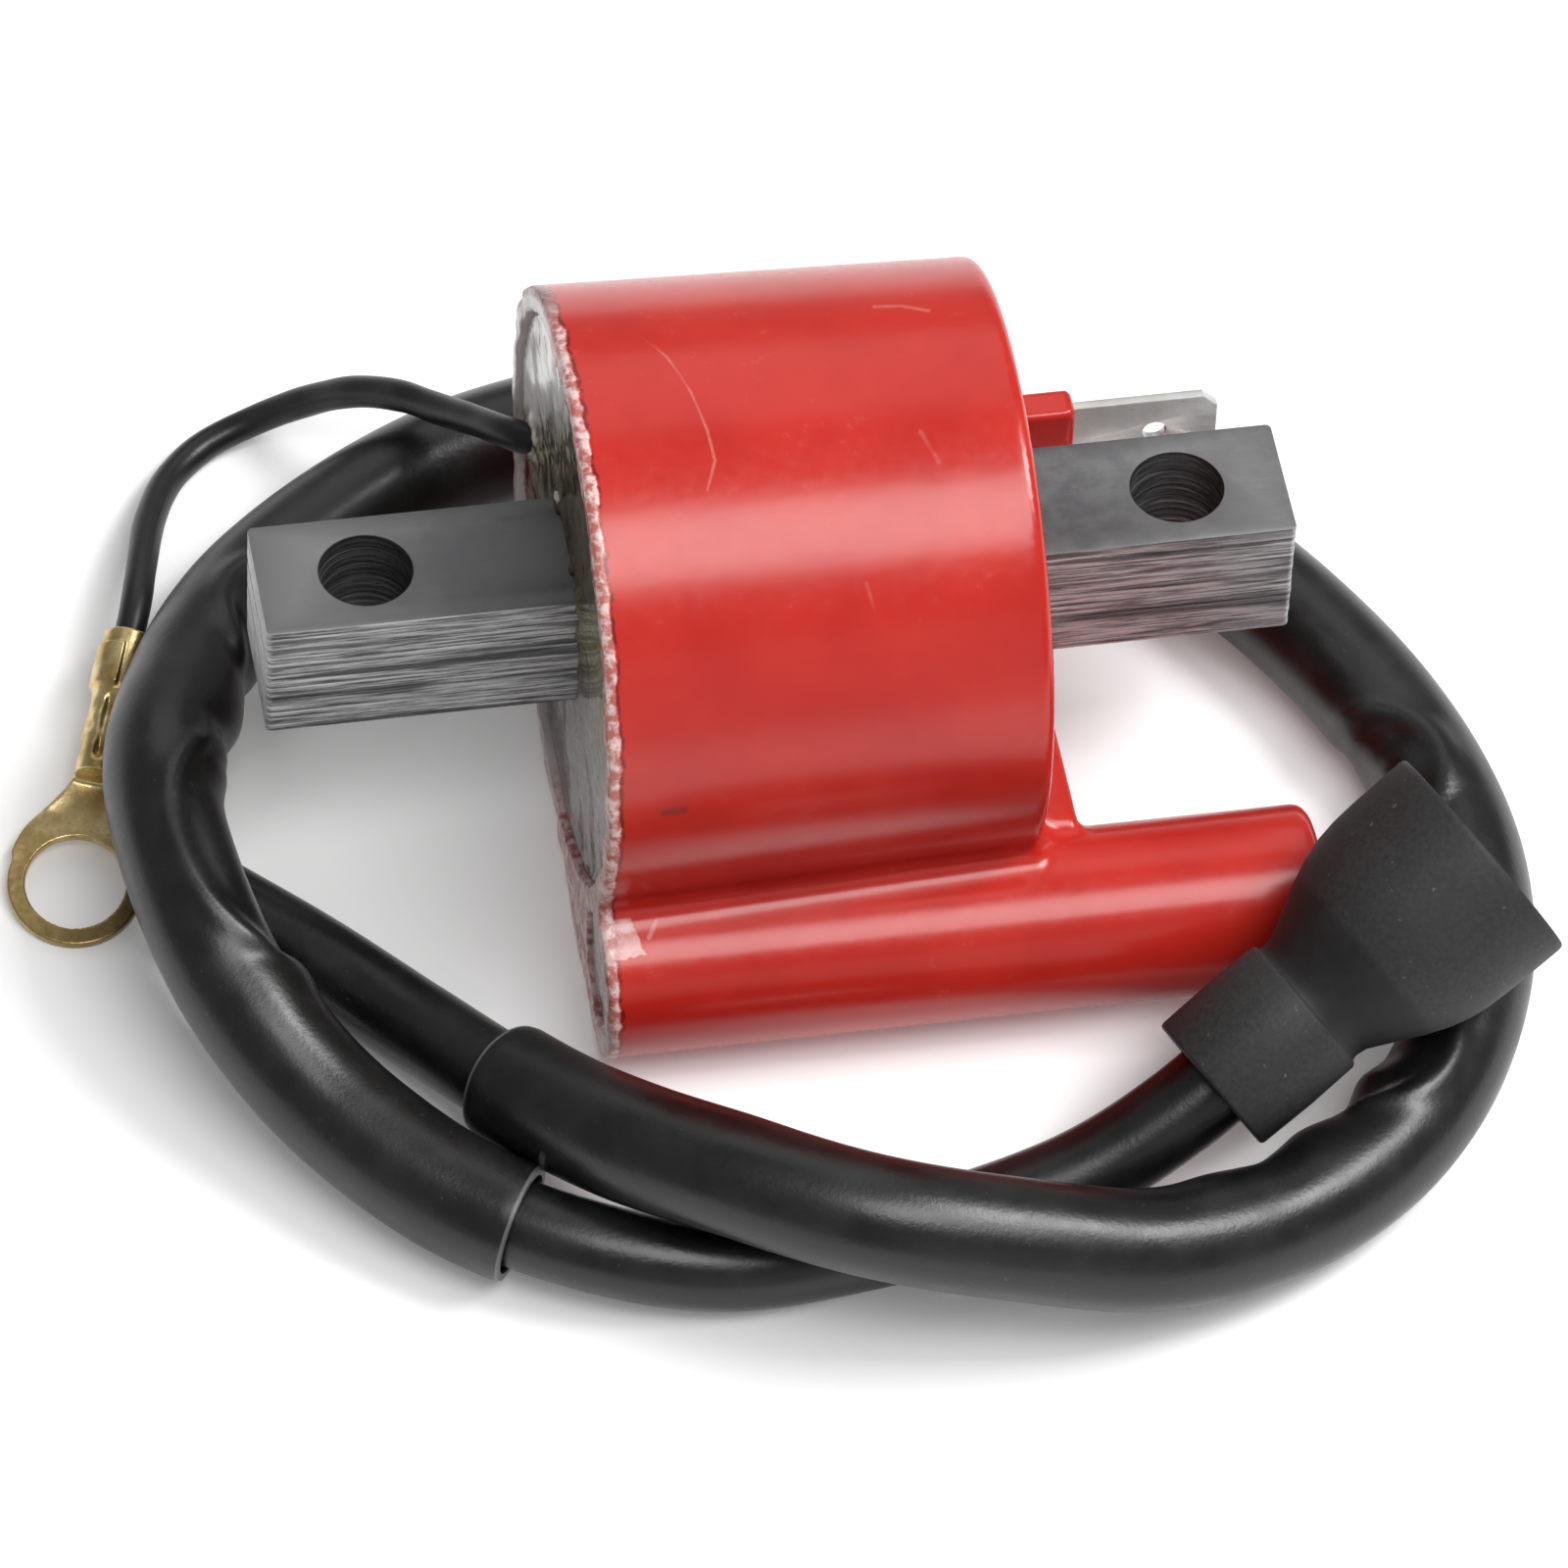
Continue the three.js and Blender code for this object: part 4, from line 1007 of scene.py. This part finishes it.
def make_sheets():
    """The punched sheets, each a hair off its neighbours. The outer two keep their width."""
    rng = np.random.RandomState(3)
    pitch = 2 * CORE_HALF / SHEET_COUNT
    for i in range(SHEET_COUNT):
        grow_x, grow_y, slide_x, slide_y = rng.uniform(-1, 1, 4) * (0.02, 0.02, 0.02, 0.01)
        outer = i in (0, SHEET_COUNT - 1)
        loops = [core_outline(grow_x, 0 if outer else grow_y - 0.01)]
        for x in (-HOLE_X, HOLE_X):
            loops.append(circle(HOLE_RADIUS + rng.uniform(-0.06, 0.06), 56, (x, 0)))
        height = (i + 0.5) * pitch - CORE_HALF

        def to_coil(points, x=slide_x, y=slide_y, z=height):
            return lean(points + (x, y, z))

        number = f"{i + 1:02d}"
        sheet = plate("lamination_" + number, loops, pitch - SHEET_GAP, 0.05, to_coil, core_steel)
        place(sheet, "core_sheet_" + number, "core_steel")


make_sheets()

# ---------------------------------------------------------------- terminals


def tinned_finish():
    finish = Finish("tinned_steel", (0.60, 0.60, 0.58), 0.36, metallic=0.6)
    grain = finish.noise(1, 4, 0.7, where=finish.stretch((0.25, 1.5, 1.5), (CORE_LEAN, 0, 0)))
    cloud = finish.noise(3, 3, 0.6)
    finish.feed(
        Base_Color=finish.mix(cloud, (0.42, 0.42, 0.41), (0.80, 0.80, 0.77)),
        Roughness=finish.remap(grain, 0.3, 0.7, 0.26, 0.45),
    )
    finish.bump(grain, 0.02)
    return finish.material


def brass_finish():
    finish = Finish("brass", (0.60, 0.43, 0.17), 0.32, metallic=0.9)
    cloud = finish.noise(3.5, 4, 0.65)
    fine = finish.noise(0.6, 4, 0.7)
    tint = finish.mix(finish.remap(cloud, 0.36, 0.66), (0.46, 0.33, 0.13), (0.78, 0.62, 0.32))
    stain = finish.remap(finish.distance((-52.0, -11.5, 1.2)), 2.0, 8.5, 0.75, 0)
    tint = finish.mix(stain, tint, (0.20, 0.13, 0.055))
    tint = finish.mix(finish.remap(fine, 0.62, 0.74, 0, 0.35), tint, (0.20, 0.13, 0.045))
    finish.feed(Base_Color=tint, Roughness=finish.remap(fine, 0.3, 0.7, 0.26, 0.40))
    finish.bump(fine, 0.02)
    return finish.material


tinned = tinned_finish()
brass = brass_finish()


def make_spade():
    half, corner = TAB_HALF_WIDTH, TAB_CORNER
    upper = [(TAB_END_X, half - corner), (TAB_END_X - corner, half), (TAB_INNER_X, half)]
    outline = [(x, -y) for x, y in reversed(upper)] + upper
    loops = [outline, circle(TAB_HOLE_RADIUS, 32, TAB_HOLE)]

    def to_coil(points):
        x, across, through = points.T
        return lean(np.stack([x, TAB_Y + through, across], 1))

    return plate("spade_tab", loops, TAB_THICKNESS, 0.09, to_coil, tinned)


place(make_spade(), "spade_terminal", "tinned_steel")

RING_CENTRE = np.array((-54.6, -6.6, 1.15))
RING_HEADING = -0.333
RING_TILT = 0.14
RING_RADIUS = 5.35
EYE_RADIUS = 3.95
BLADE_HALF_THICKNESS = 0.4
BARREL_RADIUS = 1.85
BARREL_HEIGHT = 1.45
BARREL_SPAN = (8.6, 21)
CRIMP_SPAN = (9.4, 15.4)
GRIP_START = 15.7
FLAP_END = 19.7


def from_terminal(points):
    """The ring terminal's own frame (Y towards the crimp) to the coil frame."""
    x, y, z = np.atleast_2d(points).T
    y, z = (y * math.cos(RING_TILT) - z * math.sin(RING_TILT),
            y * math.sin(RING_TILT) + z * math.cos(RING_TILT))
    x, y = (x * math.cos(RING_HEADING) - y * math.sin(RING_HEADING),
            x * math.sin(RING_HEADING) + y * math.cos(RING_HEADING))
    return np.stack([x, y, z], 1) + RING_CENTRE


def ring_field(x, y, z):
    """Ring, shoulders, rolled barrel and jacket grip, in the terminal's own frame."""
    ring = np.hypot(x, y) - RING_RADIUS
    narrow = np.clip((y - 3.0) / 6.5, 0, 1)
    half = 4.6 - 2.75 * narrow * narrow * (3 - 2 * narrow)
    shoulder = np.maximum(np.abs(x) - half, np.maximum(2.5 - y, y - 10.5))
    blade = round_union(ring, shoulder, 2.0)
    curl = np.clip((y - 5.5) / 4.0, 0, 1)
    lift = 0.09 * curl * x ** 2
    blade = round_overlap(blade, np.abs(z - lift) - BLADE_HALF_THICKNESS, 0.15)

    # the rolled barrel has a dimpled valley where its two edges meet
    crimp_start, crimp_end = CRIMP_SPAN
    on_crimp = np.clip((y - crimp_start) / 0.8, 0, 1) * np.clip((crimp_end - y) / 0.8, 0, 1)
    valley = (0.42 + 0.22 * noise(x * 0, y, z * 0, 1.3)) * np.exp(-((x + 0.2) / 0.34) ** 2)
    dimples = 0.10 * noise(x, y, z, 0.9, 2.2)
    # the grip's left flap laps over the right one and ends short of it
    on_grip = np.clip((y - GRIP_START) / 0.5, 0, 1)
    flap = np.clip((0.1 - x) / 0.12, 0, 1) * np.clip((FLAP_END - y) / 0.12, 0, 1)
    from_barrel = np.hypot(x, z - BARREL_HEIGHT)
    radius = BARREL_RADIUS + on_grip * (0.12 + 0.26 * flap) + on_crimp * dimples
    radius = radius - on_crimp * valley * (z > BARREL_HEIGHT)
    barrel_start, barrel_end = BARREL_SPAN
    tube = round_overlap(from_barrel - radius, np.maximum(barrel_start - y, y - barrel_end), 0.12)
    solid = round_union(blade, tube, 0.5)
    bore = np.maximum(from_barrel - np.where(y > 15.6, 1.45, 0.9), 9.6 - y)
    solid = np.maximum(solid, -bore)
    return np.maximum(solid, EYE_RADIUS - np.hypot(x, y))


def make_ring_terminal():
    points, quads = surface_net(ring_field, (-6, -6, -1), (6, 21.6, 4.2), 0.15)
    return add_mesh("ring_terminal_brass", row(from_terminal(points)), quads, brass)


ring_terminal = make_ring_terminal()
place(ring_terminal, "ring_terminal", "brass")

BOOT_START = np.array((28.4, -41.0, 9.7))
BOOT_MOUTH = np.array((50.6, -29.7, 20.5))
BOOT_AXIS = BOOT_MOUTH - BOOT_START
# Profiles of turned pieces: distance along the axis and radius
BOOT_PROFILE = [
    (0.25, 3.8), (0, 4.0), (0, 5.75), (0.12, 5.92), (0.35, 6.0), (5, 6.05), (9.2, 6.02), (9.45, 5.9),
    (9.6, 5.6), (10.0, 5.5), (10.9, 5.65), (12, 6.2), (13.5, 6.95), (15.0, 7.7), (16.8, 8.45),
    (18.5, 8.95), (20.2, 9.22), (22.2, 9.35), (25, 9.42), (27.0, 9.45), (27.35, 9.4), (27.5, 9.25),
    (27.5, 7.45), (27.3, 7.25), (22, 7.2), (17.5, 7.2), (14.8, 6.3), (12.5, 5.4), (11.3, 4.2), (11, 3.8),
]


def boot_wobble(along, angle):
    swell = 0.09 * noise(along / 7, 1.5 * math.cos(angle), 1.5 * math.sin(angle), 1.0, 4.4)
    return float(swell) * min(1, along / 4)


boot_heading = BOOT_AXIS / np.linalg.norm(BOOT_AXIS)
# the boot's neck, between collar and flare, is painted darker as shade
boot_rubber = rubber_finish(
    "boot_rubber", 0.013, 0.60, 0.5, specular=0.35, shaded_band=(BOOT_START, boot_heading, 10.2, 15.0),
)
boot = lathe("boot_rubber", BOOT_PROFILE, BOOT_START, BOOT_AXIS, boot_rubber, 112, boot_wobble)
smooth_by_angle(boot, 40)
place(boot, "rubber_boot", "rubber", "boot")

LEAD_TERMINAL_PROFILE = [
    (13.2, 0.02), (13.2, 3.2), (13.4, 3.4), (16, 3.4), (16.3, 3.2), (16.9, 3.2), (17.2, 3.4),
    (19.3, 3.4), (19.35, 4.5), (19.5, 4.6), (20.05, 4.6), (20.2, 4.5), (20.3, 3.15), (23.9, 3.1),
    (24.2, 2.95), (24.2, 2.55), (24.0, 2.45), (20.8, 2.4), (20.8, 0.02),
]
lead_terminal = lathe("lead_terminal_brass", LEAD_TERMINAL_PROFILE, BOOT_START, BOOT_AXIS, brass, 64)
smooth_by_angle(lead_terminal, 40)
place(lead_terminal, "lead_terminal", "brass")

CONTACT_PROFILE = [
    (10.4, 0.02), (10.4, 1.2), (21.3, 1.2), (21.3, 3.9), (21.4, 4), (22.3, 4), (22.4, 3.9), (22.5, 2.2),
    (26.8, 2.2), (27.5, 1.8), (27.8, 1.2), (27.8, 0.02),
]
TOWER_START = (0, -TOWER_OFFSET, TOWER_RADIUS)
contact = lathe("tower_contact_brass", CONTACT_PROFILE, TOWER_START, (1, 0, 0), brass, 48)
smooth_by_angle(contact, 40)
place(contact, "tower_contact", "brass")

# ---------------------------------------------------------------- inner pieces keep their CAD shape

INNER_FINISH = {
    "tower_potting": resin,
    "core_insulator": paper,
    "winding_paper": paper,
    "primary_bobbin": nylon,
    "secondary_bobbin": nylon,
    "ground_splice": brass,
}


def dress_node(name, finish):
    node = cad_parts[name]
    if not node.material_slots:
        node.data.materials.append(finish)
    for slot in node.material_slots:
        slot.link = "OBJECT"
        slot.material = finish


for node_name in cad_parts:
    if node_name in INNER_FINISH:
        dress_node(node_name, INNER_FINISH[node_name])
    elif node_name.startswith(("primary", "secondary")) or node_name.endswith(("conductor", "link")):
        dress_node(node_name, copper)

# ---------------------------------------------------------------- cord points in the row frame, not used

row(LEAD_ROUTE[0])[0]
row(lead_path)
row(sleeve_path[0])[0]
row(sleeve_path)
row(WIRE_ROUTE[1])[0]
row(jacket_path)

# ---------------------------------------------------------------- floor and light


FLOOR_HALF = 4


def make_floor():
    """A white floor, FLOOR_HALF metres each way, that glows a little to soften the shadows."""
    finish = Finish("floor", (0.94, 0.94, 0.94), 0.8, specular=0.2)
    finish.shader.inputs["Emission Color"].default_value = (1, 1, 1, 1)
    finish.shader.inputs["Emission Strength"].default_value = 0.12
    corners = [(FLOOR_HALF * x, FLOOR_HALF * y, 0) for x, y in ((-1, -1), (1, -1), (1, 1), (-1, 1))]
    floor = add_mesh("floor", corners, [(0, 1, 2, 3)], finish.material)


def add_softbox(name, azimuth, elevation, distance, width, height, power):
    """An area light aimed at the coil. Distances are in metres."""
    direction = direction_to(azimuth, elevation)
    data = bpy.data.lights.new(name, "AREA")
    data.shape = "RECTANGLE"
    data.size = width
    data.size_y = height
    data.energy = power
    light = bpy.data.objects.new(name, data)
    light.location = direction * distance + Vector((0, 0, 0.02))
    light.rotation_euler = direction.to_track_quat("Z", "Y").to_euler()
    bpy.context.scene.collection.objects.link(light)


def make_light():
    world = bpy.data.worlds.new("studio")
    world.use_nodes = True
    background = world.node_tree.nodes["Background"]
    background.inputs["Color"].default_value = (1, 1, 1, 1)
    background.inputs["Strength"].default_value = 0.25
    bpy.context.scene.world = world
    add_softbox("key", 24, 69, 1.0, 0.6, 0.42, 5.0)
    add_softbox("side", 90, 56, 1.1, 0.4, 0.4, 8)
    add_softbox("back", 175, 45, 1.2, 0.8, 0.8, 1.6)
    add_softbox("front", 10, 15, 1.4, 0.9, 0.9, 0.9)


make_floor()
make_light()
bpy.context.scene.view_settings.view_transform = "Standard"
